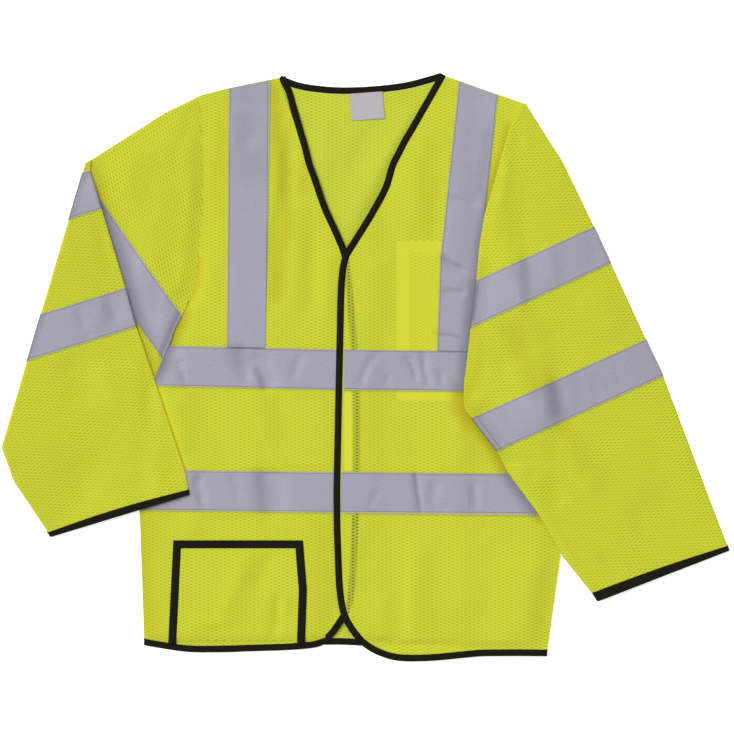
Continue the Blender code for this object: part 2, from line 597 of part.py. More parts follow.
def right_sleeve():
    """The right sleeve, folded once, with its tapes and its cuff binding."""
    base = (cuff_end_base,)
    puff = (cuff_end_puff,)
    flat_puff = (upper_arm_puff,)
    crease = (Vector(CREASE_FOOT) - Vector(CREASE_TOP)).normalized()
    inwards = Vector((-crease.y, crease.x))
    slot_start = Vector(CREASE_TOP) + inwards * (CREASE_STRIP + STRIP_LAP)
    off_crease = [(tuple(slot_start), tuple(crease))]
    above_cuff = band_lines(*RIGHT_CUFF_LINE, -WHOLE_SLEEVE, -BINDING - 2 * GAP)
    shapes = [
        sleeve_shape(RIGHT_CUFF_END, 0.0, base, puff, keep=above_cuff, rounded=True),
        sleeve_shape(RIGHT_UPPER_ARM, 0.0, (), flat_puff, rounded=True),
        crease_strip(0.0, CREASE_STRIP),
    ]
    hollows = [
        sleeve_shape(RIGHT_CUFF_END, -CLOTH, base, puff, MOUTH, off_crease),
        sleeve_shape(RIGHT_UPPER_ARM, -CLOTH, (), flat_puff, MOUTH, off_crease),
    ]
    combine("sleeve_right", shapes, hollows, "mesh_fabric")

    shapes = [
        sleeve_shape(RIGHT_CUFF_END, LAYER, base, puff, keep=band_lines(*RIGHT_LOWER_BAND, 0.0, TAPE)),
        crease_strip(LAYER, CREASE_STRIP - STRIP_LAP,
                     band_lines(*RIGHT_LOWER_BAND, CREASE_STEP, TAPE - CREASE_STEP)),
    ]
    clear = [sleeve_shape(RIGHT_CUFF_END, GAP, base, puff), crease_strip(GAP, CREASE_STRIP + GAP)]
    combine("sleeve_right_tape_lower", shapes, clear, "reflective_tape")

    above = band_lines(*RIGHT_UPPER_BAND_ON_ARM, 0.0, TAPE)
    folded = band_lines(*RIGHT_UPPER_BAND_ON_CUFF_END, 0.0, TAPE)
    shapes = [
        sleeve_shape(RIGHT_UPPER_ARM, LAYER, (), flat_puff, -SEAM_INSET, above),
        sleeve_shape(RIGHT_CUFF_END, LAYER, base, puff, keep=folded),
        crease_strip(LAYER, CREASE_STRIP - STRIP_LAP, band_lines(CREASE_TOP, inwards, *STRIP_TAPE)),
    ]
    clear = [
        sleeve_shape(RIGHT_UPPER_ARM, GAP, (), flat_puff, SEAM_INSET),
        sleeve_shape(RIGHT_CUFF_END, GAP, base, puff),
        crease_strip(GAP, CREASE_STRIP + GAP),
    ]
    combine("sleeve_right_tape_upper", shapes, clear, "reflective_tape")

    keep = band_lines(*RIGHT_CUFF_LINE, -BINDING, 0.0)
    ring = sleeve_shape(RIGHT_CUFF_END, BINDING_WALL - CLOTH, base, puff, MOUTH, keep)
    mouth = sleeve_shape(RIGHT_CUFF_END, -CLOTH, base, puff, MOUTH_CUT)
    combine("cuff_binding_right", [ring], [mouth], "binding")


def clear_scene():
    for item in list(bpy.data.objects):
        bpy.data.objects.remove(item)


def make_materials():
    made = {}
    for name, (colour, roughness) in FINISHES.items():
        material = bpy.data.materials.new(name)
        material.use_nodes = True
        shader = material.node_tree.nodes["Principled BSDF"]
        shader.inputs["Base Color"].default_value = linear(colour)
        shader.inputs["Roughness"].default_value = roughness
        shader.inputs["Metallic"].default_value = 0.0
        made[name] = material
    return made


clear_scene()
MATERIALS = make_materials()
back()
right_front()
patch_pocket()
left_front()
between_the_fronts()
left_sleeve()
right_sleeve()
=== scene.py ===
# %% [markdown]
# # A hi-vis long-sleeve shirt, laid flat
#
# The real thing is a light road-worker's shirt. Its cloth is a lime-yellow polyester mesh, knitted
# with small eyelets. Two-inch tapes, coated with glass beads, go over the shoulders, round the
# chest and the waist, and twice round each sleeve. A dark bias binding closes every cut edge.
#
# The solid model underneath gives each piece's place and size. This lesson dresses it: thin shells
# for the cloth, a swept band for each binding, and a knitted, coated or woven finish for each.

# %% Load the frame
import math

import bmesh
import bpy
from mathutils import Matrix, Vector, noise


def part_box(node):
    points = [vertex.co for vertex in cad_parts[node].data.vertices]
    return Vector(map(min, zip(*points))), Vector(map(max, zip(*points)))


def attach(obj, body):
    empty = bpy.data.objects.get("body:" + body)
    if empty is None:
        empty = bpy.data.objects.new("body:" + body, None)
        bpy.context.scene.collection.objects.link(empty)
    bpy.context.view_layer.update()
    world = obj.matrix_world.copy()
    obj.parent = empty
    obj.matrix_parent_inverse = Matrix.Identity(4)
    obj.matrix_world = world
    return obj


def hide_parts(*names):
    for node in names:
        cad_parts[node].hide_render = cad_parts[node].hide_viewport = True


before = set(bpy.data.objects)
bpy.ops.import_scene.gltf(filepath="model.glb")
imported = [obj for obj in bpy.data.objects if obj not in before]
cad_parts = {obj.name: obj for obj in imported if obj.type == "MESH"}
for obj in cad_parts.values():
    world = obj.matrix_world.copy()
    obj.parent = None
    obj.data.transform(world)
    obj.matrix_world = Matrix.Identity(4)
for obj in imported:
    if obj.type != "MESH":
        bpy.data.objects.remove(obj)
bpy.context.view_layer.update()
MM = 0.001

# %% [markdown]
# ## The table, the light and the camera
#
# The shirt lies on a table and is seen from straight above, so the table is a plain pale sheet and
# the camera looks down. A long lens far away keeps the layers from leaning outwards. A big lamp
# overhead and a pale sky fill the shadows. One large, distant lamp to the upper left gives more
# than half of the light, so that every ridge has a light side and a shaded side; it is as strong
# on both sleeves, which a lamp close by wouldn't be. The sky is brightest along the horizon, where
# it meets the table as a studio's curved wall would. The table glows, like a light table, so that
# the thin shirt casts no grey rim on it. The Standard view keeps a fluorescent yellow as strong as
# it is, where the filmic ones would pale it.

# %% Camera, light and table
PICTURE_WIDTH = 0.969
CAMERA_HEIGHT = 5.0
CAMERA_X = 0.0013
SENSOR = 36.0
OVERHEAD_SIZE = 2.6
OVERHEAD_HEIGHT = 2.6
HORIZON_TOP, SKY_FOOT = 0.12, 0.25
HORIZON_STRENGTH, SKY_STRENGTH = 1.0, 0.345
TABLE_REACH = 14.0

lens = bpy.data.cameras.new("camera")
lens.sensor_width = SENSOR
lens.lens = SENSOR * CAMERA_HEIGHT / PICTURE_WIDTH
lens.clip_end = 50.0
camera = bpy.data.objects.new("camera", lens)
camera.location = (CAMERA_X, 0.0, CAMERA_HEIGHT)
bpy.context.scene.collection.objects.link(camera)
bpy.context.scene.camera = camera
bpy.context.scene.view_settings.view_transform = "Standard"

overhead = bpy.data.lights.new("lamp_overhead", "AREA")
overhead.size = OVERHEAD_SIZE
overhead.energy = 13.4
lamp = bpy.data.objects.new("lamp_overhead", overhead)
lamp.location = (0.0, 0.0, OVERHEAD_HEIGHT)
bpy.context.scene.collection.objects.link(lamp)

LAMP_FROM = Vector((-2.4, 1.5, 3.0))
side = bpy.data.lights.new("lamp_upper_left", "SUN")
side.angle = math.radians(50.0)
side.energy = 2.5
lamp = bpy.data.objects.new("lamp_upper_left", side)
lamp.location = LAMP_FROM
lamp.rotation_euler = (-LAMP_FROM).to_track_quat("-Z", "Y").to_euler()
bpy.context.scene.collection.objects.link(lamp)

sky = bpy.data.worlds.new("studio")
sky.use_nodes = True
bpy.context.scene.world = sky
sky_nodes = sky.node_tree.nodes
sky_nodes["Background"].inputs["Color"].default_value = (1.0, 1.0, 1.0, 1.0)
direction = sky_nodes.new("ShaderNodeTexCoord")
upwards = sky_nodes.new("ShaderNodeSeparateXYZ")
brightness = sky_nodes.new("ShaderNodeMapRange")
brightness.inputs["From Min"].default_value = HORIZON_TOP
brightness.inputs["From Max"].default_value = SKY_FOOT
brightness.inputs["To Min"].default_value = HORIZON_STRENGTH
brightness.inputs["To Max"].default_value = SKY_STRENGTH
sky.node_tree.links.new(direction.outputs["Generated"], upwards.inputs[0])
sky.node_tree.links.new(upwards.outputs["Z"], brightness.inputs["Value"])
sky.node_tree.links.new(brightness.outputs[0], sky_nodes["Background"].inputs["Strength"])

table_mesh = bmesh.new()
bmesh.ops.create_grid(table_mesh, x_segments=1, y_segments=1, size=TABLE_REACH)
table_data = bpy.data.meshes.new("table")
table_mesh.to_mesh(table_data)
table_mesh.free()
table = bpy.data.objects.new("table", table_data)
bpy.context.scene.collection.objects.link(table)
print("camera", CAMERA_HEIGHT, "m up, lens", round(lens.lens), "mm")

# %% [markdown]
# ## Finishes
#
# A finish is a small tree of nodes. One helper adds a node with its settings and its links, and
# another turns a colour that is written as sRGB hex into the linear light that Blender works in.
#
# Patterns are drawn on a UV map named "cloth", which holds metres: u runs across the piece and v
# along it, so that an eyelet has its real size on every piece and turns with the sleeve it is on.

# %% Helpers for materials
def colour(hex_code):
    """An sRGB hex colour as linear light."""
    parts = [int(hex_code[i:i + 2], 16) / 255 for i in (0, 2, 4)]
    return [p / 12.92 if p <= 0.04045 else ((p + 0.055) / 1.055) ** 2.4 for p in parts] + [1.0]


def socket_of(source):
    """The socket itself, or a node's first output."""
    return source.outputs[0] if isinstance(source, bpy.types.Node) else source


def add(material, kind, inputs=(), **settings):
    """Adds a node. inputs pairs each socket with a value, or with what feeds it."""
    node = material.node_tree.nodes.new("ShaderNode" + kind)
    for name, value in settings.items():
        setattr(node, name, value)
    for name, value in dict(inputs).items():
        if isinstance(value, (bpy.types.Node, bpy.types.NodeSocket)):
            material.node_tree.links.new(socket_of(value), node.inputs[name])
        else:
            node.inputs[name].default_value = value
    return node


def new_material(name, base, roughness, specular=0.5):
    """A material with one Principled shader, and that shader."""
    material = bpy.data.materials.new(name)
    material.use_nodes = True
    shader = material.node_tree.nodes["Principled BSDF"]
    shader.inputs["Base Color"].default_value = colour(base)
    shader.inputs["Roughness"].default_value = roughness
    shader.inputs["Specular IOR Level"].default_value = specular
    return material, shader


def feed(material, source, shader, name):
    """Links a node to one of the shader's sockets."""
    material.node_tree.links.new(socket_of(source), shader.inputs[name])


print("helpers ready")

# %% [markdown]
# ## The mesh cloth
#
# It is a warp-knitted polyester: the yarns leave eyelets about 2.5 mm wide and 1.5 mm high. They
# stand in columns, 5.5 mm apart and 4.3 mm from one eyelet to the next, and each column is half a
# step lower than its neighbour. The product of two cosines has its peaks in just that staggered
# lattice, so it needs no image. Cutting the tops off the first cosine makes the eyelets wider, and
# adding that cosine's size keeps them soft above and below.
#
# The back's inner face, which shows in the neck, is the knit's smooth side. There the yarns run up
# in pale ribs between the eyelets. Where two layers nearly touch, light that has gone through one
# comes back warmer from the other, and deeper in there is less of it. Renderers make little of
# that in so thin a gap, so warm light and shade are painted into the colour instead: each piece
# carries numbers at its corners for a painted warm glow and for a painted shade, which also
# darkens some creases and folded edges. A folded edge away from the lamp gets a painted glow of
# its own, an emission that stands in for light coming through it.
#
# An eyelet shows what is below it. Nearly everywhere that is the next layer of the same cloth in
# shade, so an eyelet is a darker, greener yellow, pressed in a little. Noise makes the lattice
# swim by a fraction of a millimetre, and lets the eyelets fade where the layer below lies close.
# What the eyelets lose there the yarns get, so that the cloth is as dark as before when seen from
# far off.

# %% Mesh cloth
EYELET_COLUMNS = 5.5 * MM
EYELET_STEP = 4.3 * MM
LEAST_CLEAR = 0.42
MOST_CLEAR = 0.92
MEAN_EYELET = 0.43
MEAN_TONE = 0.32
LIME = "D6DA3E"
LIME_SHADE = "949E08"
# The colours of the painted warm light and of the painted shade.
PAINTED_WARM_GLOW = "DFD52A"
PAINTED_DEEP_SHADE = "A08C0A"


def eyelets(material):
    """Nodes for the place on the cloth, its eyelets (1) and yarns (0), and how clear they are."""
    place = add(material, "UVMap", uv_map="cloth")
    drift = add(material, "TexNoise", {"Vector": place, "Scale": 45.0, "Detail": 1.0})
    pull = add(material, "VectorMath", {0: drift.outputs["Color"], 1: (1.2 * MM, 1.2 * MM, 0.0)},
               operation="MULTIPLY")
    moved = add(material, "VectorMath", {0: place, 1: pull}, operation="ADD")
    split = add(material, "SeparateXYZ", {0: moved})
    turn_x = add(material, "Math", {0: split.outputs["X"], 1: math.pi / EYELET_COLUMNS},
                 operation="MULTIPLY")
    turn_y = add(material, "Math", {0: split.outputs["Y"], 1: 2 * math.pi / EYELET_STEP},
                 operation="MULTIPLY")
    round_x = add(material, "Math", {0: turn_x}, operation="COSINE")
    size_x = add(material, "Math", {0: round_x}, operation="ABSOLUTE")
    wave_x = add(material, "Math", {0: round_x, 1: size_x}, operation="MULTIPLY")
    wave_y = add(material, "Math", {0: turn_y}, operation="COSINE")
    column = add(material, "Math", {0: size_x, 1: 0.4, 2: 0.6}, operation="MULTIPLY_ADD")
    lattice = add(material, "Math", {0: wave_x, 1: wave_y, 2: column}, operation="MULTIPLY_ADD")
    hole = add(material, "MapRange", {"Value": lattice, "From Min": 0.0, "From Max": 2.0})
    cloud = add(material, "TexNoise", {"Vector": place, "Scale": 16.0, "Detail": 2.0})
    clear = add(material, "MapRange", {"Value": cloud, "From Min": 0.35, "From Max": 0.65,
                                       "To Min": LEAST_CLEAR, "To Max": MOST_CLEAR})
    return place, hole, clear


def paint_glow_and_shade(material, source, glow, shade):
    """Paints a warm glow and a shade into a colour, by the piece's own numbers for them."""
    lit = add(material, "Attribute", attribute_name="glow")
    dim = add(material, "Attribute", attribute_name="shade")
    warm = add(material, "MixRGB", {"Fac": lit.outputs["Fac"], "Color1": source,
                                    "Color2": colour(glow)})
    return add(material, "MixRGB", {"Fac": dim.outputs["Fac"], "Color1": warm,
                                    "Color2": colour(shade)})


def mesh_cloth(name, yarn, eyelet, ribs=0.0):
    """The eyelet-knit polyester: matt, fluorescent and a little fuzzy. Also gives its nodes."""
    material, shader = new_material(name, yarn, 0.85, specular=0.15)
    place, hole, clear = eyelets(material)
    level = add(material, "Math", {0: clear, 1: -MEAN_EYELET, 2: MEAN_TONE},
                operation="MULTIPLY_ADD")
    shown = add(material, "Math", {0: hole, 1: clear, 2: level}, operation="MULTIPLY_ADD")
    grain = add(material, "TexNoise", {"Vector": place, "Scale": 700.0, "Detail": 2.0})
    tone = add(material, "MapRange", {"Value": grain, "From Min": 0.3, "From Max": 0.7,
                                      "To Min": 0.0, "To Max": 0.2})
    yarns = add(material, "MixRGB", {"Fac": tone, "Color1": colour(yarn), "Color2": colour(eyelet)})
    knit = add(material, "MixRGB", {"Fac": shown, "Color1": yarns, "Color2": colour(eyelet)})
    if ribs:
        split = add(material, "SeparateXYZ", {0: place})
        turn = add(material, "Math", {0: split.outputs["X"], 1: 2 * math.pi / EYELET_COLUMNS},
                   operation="MULTIPLY")
        rib_and_highlight = add(material, "Math", {0: turn}, operation="COSINE")
        faded = add(material, "Math", {0: clear, 1: -ribs, 2: ribs}, operation="MULTIPLY_ADD")
        pale = add(material, "MapRange", {"Value": rib_and_highlight, "From Min": 0.6, "From Max": -0.9,
                                          "To Min": 0.15, "To Max": 1.0})
        shine = add(material, "Math", {0: pale, 1: faded}, operation="MULTIPLY")
        knit = add(material, "MixRGB", {"Fac": shine, "Color1": knit, "Color2": colour("DAE26E")})
    # Painted warm light and painted shade go into the colour here.
    feed(material, paint_glow_and_shade(material, knit, PAINTED_WARM_GLOW, PAINTED_DEEP_SHADE), shader, "Base Color")
    depth = add(material, "Math", {0: hole, 1: -1.0, 2: 1.0}, operation="MULTIPLY_ADD")
    fuzz = add(material, "Math", {0: grain, 1: 0.35, 2: depth}, operation="MULTIPLY_ADD")
    bump = add(material, "Bump", {"Height": fuzz, "Distance": 0.3 * MM, "Strength": 0.5})
    feed(material, bump, shader, "Normal")
    shader.inputs["Sheen Weight"].default_value = 0.05
    shader.inputs["Sheen Roughness"].default_value = 0.5
    # A painted glow: the cloth emits a warm light along folded edges away from the lamp.
    painted_edge_glow = add(material, "Attribute", attribute_name="painted_edge_glow")
    light = add(material, "Math", {0: painted_edge_glow.outputs["Fac"], 1: 0.9}, operation="MULTIPLY")
    feed(material, light, shader, "Emission Strength")
    shader.inputs["Emission Color"].default_value = colour("C9B52C")
    return material, {"shader": shader, "hole": hole, "shown": shown, "yarns": yarns, "knit": knit}


BODY_MESH, _ = mesh_cloth("lime_eyelet_mesh", LIME, LIME_SHADE)
# The sleeves' cloth is the body's, painted a little darker: a painted shade for sleeves that face
# the light less squarely than the body.
SLEEVE_MESH_PAINTED_DARKER, _ = mesh_cloth("lime_eyelet_mesh_sleeve_painted_darker", "D4D83C", "919C08")
INSIDE_MESH, _ = mesh_cloth("lime_eyelet_mesh_inside", "CFD842", "96A212", 0.18)
print("mesh cloth:", EYELET_COLUMNS / MM, "mm columns")

# %% [markdown]
# The left front lies on three things that show through its eyelets: the dark bound edge of the
# right front, the smooth hook-and-loop strip beside it, and the pocket bag, which is brightest
# along its turned side, top and foot, where it is two layers thick. The mesh keeps how far each
# corner is from each of them, in metres, negative inside. The material turns that into an edge as
# sharp as the real one, so the cloth needn't be see-through.

# %% The left front's cloth
def near(material, name, inside, outside):
    """1 where the distance kept under this name is less than inside, 0 beyond outside."""
    distance = add(material, "Attribute", attribute_name=name)
    return add(material, "MapRange", {"Value": distance.outputs["Fac"], "From Min": inside,
                                      "From Max": outside, "To Min": 1.0, "To Max": 0.0})


FRONT_MESH, parts = mesh_cloth("lime_eyelet_mesh_over_binding", LIME, LIME_SHADE)
over_binding = near(FRONT_MESH, "from_binding", 3.2 * MM, 5.5 * MM)
over_strip = near(FRONT_MESH, "from_strip", -0.5 * MM, 1.0 * MM)
over_pocket = near(FRONT_MESH, "from_pocket", -0.5 * MM, 1.5 * MM)
fainter = add(FRONT_MESH, "Math", {0: over_pocket, 1: -0.25, 2: 1.0}, operation="MULTIPLY_ADD")
smoother = add(FRONT_MESH, "Math", {0: over_strip, 1: -0.95, 2: fainter}, operation="MULTIPLY_ADD")
over_middle = near(FRONT_MESH, "from_pocket_middle", -0.5 * MM, 1.0 * MM)
over_hem = add(FRONT_MESH, "Math", {0: over_pocket, 1: over_middle}, operation="SUBTRACT",
               use_clamp=True)
smoother = add(FRONT_MESH, "Math", {0: over_hem, 1: -0.45, 2: smoother}, operation="MULTIPLY_ADD")
visible = add(FRONT_MESH, "Math", {0: parts["shown"], 1: smoother}, operation="MULTIPLY",
              use_clamp=True)
FRONT_MESH.node_tree.links.new(visible.outputs[0], parts["knit"].inputs["Fac"])
tinted = add(FRONT_MESH, "Math", {0: over_binding, 1: 0.35}, operation="MULTIPLY")
dimmed = add(FRONT_MESH, "MixRGB", {"Fac": tinted, "Color1": parts["knit"],
                                    "Color2": colour("8F9E2A")})
open_part = add(FRONT_MESH, "Math", {0: parts["hole"], 1: parts["hole"]}, operation="MULTIPLY")
dark = add(FRONT_MESH, "Math", {0: over_binding, 1: open_part}, operation="MULTIPLY")
through = add(FRONT_MESH, "MixRGB", {"Fac": dark, "Color1": dimmed, "Color2": colour("2A3010")})
hem_outer = near(FRONT_MESH, "from_pocket", 0.0, 0.8 * MM)
hem_inner = near(FRONT_MESH, "from_pocket_middle", 0.0, 0.8 * MM)
hem = add(FRONT_MESH, "Math", {0: hem_outer, 1: hem_inner}, operation="SUBTRACT", use_clamp=True)
middle = add(FRONT_MESH, "Math", {0: hem_inner, 1: 0.28}, operation="MULTIPLY")
brighter = add(FRONT_MESH, "Math", {0: hem, 1: 0.42, 2: middle}, operation="MULTIPLY_ADD")
lining = add(FRONT_MESH, "MixRGB", {"Fac": brighter, "Color1": through, "Color2": colour("CFCE2E")})
# Painted warm light and painted shade, as on the other cloth.
feed(FRONT_MESH, paint_glow_and_shade(FRONT_MESH, lining, PAINTED_WARM_GLOW, PAINTED_DEEP_SHADE), parts["shader"],
     "Base Color")
print("left front shows what it covers")

# %% [markdown]
# ## The reflective tape
#
# Silver transfer tape is a woven backing under a film of glass beads, half sunk in aluminised
# glue. Lit from the side it is a flat lavender grey with a satin lustre, and only light that comes
# from the eye flares, so a roughness near a half does it. The beads are a tenth of a millimetre,
# too fine to show, and are drawn as a grain three times as coarse. A row of lock stitches, 3 mm
# long, runs along each long edge, and draws the film down into a fine groove. Outside it the
# backing shows as a pale fringe, with the darker eyelets that it closes beside it.
#
# Two more numbers come from the piece. Where one tape lies on another there is no fringe, only the
# seam: there "on_tape" is 1. Where a sleeve's seam crosses a tape, "past_seam" is the distance
# from it. A tape without a seam has no such number and reads 0, so the seam is drawn not at 0 but
# at SEAM_MARK.

# %% Tape
TAPE = 50.8 * MM
STITCH = 3.0 * MM
STITCH_INSET = 0.5 * MM
SEAM_MARK = 100.0 * MM


def tape_film(name, base, seam):
    """Silver reflective film on cloth, with its two rows of stitches, fringe and seams."""
    material, shader = new_material(name, base, 0.5, specular=0.4)
    shader.inputs["Metallic"].default_value = 0.1
    place = add(material, "UVMap", uv_map="cloth")
    split = add(material, "SeparateXYZ", {0: place})
    middle = add(material, "Math", {0: split.outputs["Y"], 1: TAPE / 2}, operation="SUBTRACT")
    aside = add(material, "Math", {0: middle}, operation="ABSOLUTE")
    off_row = add(material, "Math", {0: aside, 1: TAPE / 2 - STITCH_INSET}, operation="SUBTRACT")
    row_gap = add(material, "Math", {0: off_row}, operation="ABSOLUTE")
    row = add(material, "MapRange", {"Value": row_gap, "From Min": 0.25 * MM, "From Max": 0.8 * MM,
                                     "To Min": 1.0, "To Max": 0.0}, interpolation_type="SMOOTHSTEP")
    turn = add(material, "Math", {0: split.outputs["X"], 1: 2 * math.pi / STITCH},
               operation="MULTIPLY")
    beat = add(material, "Math", {0: turn}, operation="COSINE")
    sunk = add(material, "MapRange", {"Value": beat, "From Min": -1.0, "From Max": 0.2,
                                      "To Min": 0.35, "To Max": 1.0})
    thread = add(material, "Math", {0: row, 1: sunk}, operation="MULTIPLY")
    cloud = add(material, "TexNoise", {"Vector": place, "Scale": 22.0, "Detail": 3.0})
    haze = add(material, "MapRange", {"Value": cloud, "From Min": 0.3, "From Max": 0.7,
                                      "To Min": 0.0, "To Max": 0.25})
    film = add(material, "MixRGB", {"Fac": haze, "Color1": colour(base),
                                    "Color2": colour("908D9D")})
    weave = add(material, "TexNoise", {"Vector": place, "Scale": 480.0, "Detail": 2.0})
    speck = add(material, "MapRange", {"Value": weave, "From Min": 0.35, "From Max": 0.65,
                                       "To Min": 0.0, "To Max": 0.55})
    film = add(material, "MixRGB", {"Fac": speck, "Color1": film, "Color2": colour("8E8B9A")})
    sewn = add(material, "MixRGB", {"Fac": thread, "Color1": film, "Color2": colour(seam)})
    outside = add(material, "MapRange", {"Value": aside, "From Min": TAPE / 2 + 0.1 * MM,
                                         "From Max": TAPE / 2 + 0.4 * MM})
    pale = add(material, "MapRange", {"Value": beat, "From Min": -0.4, "From Max": 0.6})
    fringe = add(material, "MixRGB", {"Fac": pale, "Color1": colour("7F8634"),
                                      "Color2": colour("CDD0A6")})
    on_tape = add(material, "Attribute", attribute_name="on_tape")
    backing = add(material, "MixRGB", {"Fac": on_tape.outputs["Fac"], "Color1": fringe,
                                       "Color2": colour(seam)})
    edged = add(material, "MixRGB", {"Fac": outside, "Color1": sewn, "Color2": backing})
    past_seam = add(material, "Attribute", attribute_name="past_seam")
    off_seam = add(material, "Math", {0: past_seam.outputs["Fac"], 1: SEAM_MARK},
                   operation="SUBTRACT")
    seam_gap = add(material, "Math", {0: off_seam}, operation="ABSOLUTE")
    join = add(material, "MapRange", {"Value": seam_gap, "From Min": 0.3 * MM,
                                      "From Max": 1.0 * MM, "To Min": 0.8, "To Max": 0.0})
    edged = add(material, "MixRGB", {"Fac": join, "Color1": edged, "Color2": colour(seam)})
    # Painted warm light and painted shade, in the film's own greys.
    feed(material, paint_glow_and_shade(material, edged, "A6A1A0", "66646F"), shader, "Base Color")
    beads = add(material, "TexNoise", {"Vector": place, "Scale": 3300.0, "Detail": 1.0})
    crinkle = add(material, "TexNoise", {"Vector": place, "Scale": 130.0, "Detail": 3.0})
    grain = add(material, "Math", {0: beads, 1: 0.12, 2: crinkle}, operation="MULTIPLY_ADD")
    groove = add(material, "Math", {0: thread, 1: -0.8, 2: grain}, operation="MULTIPLY_ADD")
    bump = add(material, "Bump", {"Height": groove, "Distance": 0.4 * MM, "Strength": 0.35})
    feed(material, bump, shader, "Normal")
    return material


TAPE_FILM = tape_film("silver_bead_tape", "A29FAE", "6E6B77")
print("tape", TAPE / MM, "mm wide, stitches", STITCH / MM, "mm")

# %% [markdown]
# ## Binding, label, strip and table
#
# The binding is a twill strip cut on the bias, so its ribs run at 45 degrees. It is not quite
# black: its ribs are drawn lighter than the ground, a woven texture with a painted highlight for
# the soft grey light that they catch. The label is a white woven satin with nothing on it, and
# the hook-and-loop strip is a yellow nap. The table is matt paper that glows a little.

# %% Small finishes
def woven(name, base, rib_and_highlight, spacing, roughness, turn=math.radians(45), sheen=0.0):
    """Cloth with fine ribs, so many metres apart, turned from the piece's own direction."""
    material, shader = new_material(name, base, roughness, specular=0.12)
    place = add(material, "UVMap", uv_map="cloth")
    turned = add(material, "Mapping", {"Vector": place, "Rotation": (0.0, 0.0, turn)})
    split = add(material, "SeparateXYZ", {0: turned})
    phase = add(material, "Math", {0: split.outputs["X"], 1: 2 * math.pi / spacing},
                operation="MULTIPLY")
    ribs = add(material, "Math", {0: phase}, operation="SINE")
    grain = add(material, "TexNoise", {"Vector": place, "Scale": 900.0, "Detail": 2.0})
    rough = add(material, "Math", {0: ribs, 1: 0.5, 2: grain}, operation="MULTIPLY_ADD")
    tone = add(material, "MapRange", {"Value": rough, "From Min": -0.1, "From Max": 1.1})
    mixed = add(material, "MixRGB", {"Fac": tone, "Color1": colour(base), "Color2": colour(rib_and_highlight)})
    feed(material, mixed, shader, "Base Color")
    bump = add(material, "Bump", {"Height": rough, "Distance": 0.15 * MM, "Strength": 0.6})
    feed(material, bump, shader, "Normal")
    shader.inputs["Sheen Weight"].default_value = sheen
    return material


# Ribs of 0.6 mm are drawn twice as wide, so that they show.
# The binding's lighter ribs are partly a painted highlight.
BIAS_TWILL = woven("black_bias_twill", "0B0C03", "1C1D0C", 1.2 * MM, 0.85)
SATIN = woven("white_woven_satin", "ACA5AC", "BDB5BC", 1.0 * MM, 0.6, turn=0.0)
NAP = woven("yellow_hook_and_loop", "BFC634", "D2D83C", 1.4 * MM, 0.9, sheen=0.2)
PAPER, table_shader = new_material("pale_table", "FBFBFA", 0.9, specular=0.1)
table_shader.inputs["Emission Color"].default_value = (1.0, 1.0, 1.0, 1.0)
table_shader.inputs["Emission Strength"].default_value = 0.5
table.data.materials.append(PAPER)
print(len(bpy.data.materials), "materials")

# %% [markdown]
# ## Reading the solids
#
# Each flat solid already has its piece's cut, so its outline is read from it and not written down
# again: the upward faces are kept, and the open edge round them is walked. All shapes below are
# made in millimetres, as a cutter would, and turned to metres when the object is made.

# %% Outlines from the frame
def outline(node):
    """The corners of a flat solid as seen from above, in millimetres, in order round it."""
    mesh = bmesh.new()
    mesh.from_mesh(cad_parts[node].data)
    bmesh.ops.remove_doubles(mesh, verts=mesh.verts[:], dist=0.00001)
    hidden = [face for face in mesh.faces if face.normal.z < 0.5]
    bmesh.ops.delete(mesh, geom=hidden, context="FACES")
    rim = [edge for edge in mesh.edges if edge.is_boundary]
    walk = [rim[0].verts[0]]
    while True:
        ways = [edge for edge in walk[-1].link_edges if edge in rim]
        if not ways:
            break
        rim.remove(ways[0])
        walk.append(ways[0].other_vert(walk[-1]))
    spots = [vert.co.xy / MM for vert in walk[:-1]]
    mesh.free()
    corners = []
    for i, spot in enumerate(spots):
        came = (spot - spots[i - 1]).normalized()
        goes = (spots[(i + 1) % len(spots)] - spot).normalized()
        if came.dot(goes) < 0.9999:
            corners.append(tuple(spot))
    return corners


def long_sides(corners):
    """The two long sides of a strip, from the same end. Its ends are the short edges between two
    sharp turns."""
    count = len(corners)
    spans = [Vector(corners[(i + 1) % count]) - Vector(corners[i]) for i in range(count)]

    def sharpness(i):
        after = spans[(i + 1) % count]
        turns = spans[i - 1].angle(spans[i]) + spans[i].angle(after)
        return turns / spans[i].length

    ends = sorted(sorted(range(count), key=sharpness)[-2:])
    first = [corners[i % count] for i in range(ends[0] + 1, ends[1] + 1)]
    second = [corners[i % count] for i in range(ends[1] + 1, ends[0] + count + 1)]
    return first, second[::-1]


for node in ("brace_left", "binding_front_left"):
    print(node, "has", len(outline(node)), "corners")

# %% [markdown]
# ## Lines
#
# A cut line is soft between its corners. Long spans are first split, so that the curve rounds only
# the stretch round each point, and then a curve is drawn through the points.

# %% Helpers for lines
def split_spans(points, longest):
    """The same line with no span longer than this."""
    line = [tuple(points[0])]
    for start, end in zip(points, points[1:]):
        pieces = max(math.ceil(math.dist(start, end) / longest), 1)
        for k in range(1, pieces + 1):
            line.append(tuple(Vector(start[:2]).lerp(Vector(end[:2]), k / pieces)))
    return line


def smooth_line(points, longest=30.0, steps=6):
    """A curve through the points."""
    points = split_spans(points, longest)
    line = []
    for i in range(len(points) - 1):
        before = Vector(points[max(i - 1, 0)])
        start = Vector(points[i])
        end = Vector(points[i + 1])
        after = Vector(points[min(i + 2, len(points) - 1)])
        for step in range(steps):
            t = step / steps
            square = 2 * before - 5 * start + 4 * end - after
            cube = 3 * start - before - 3 * end + after
            spot = 2 * start + (end - before) * t + square * t ** 2 + cube * t ** 3
            line.append(tuple(0.5 * spot))
    line.append(tuple(points[-1]))
    return line


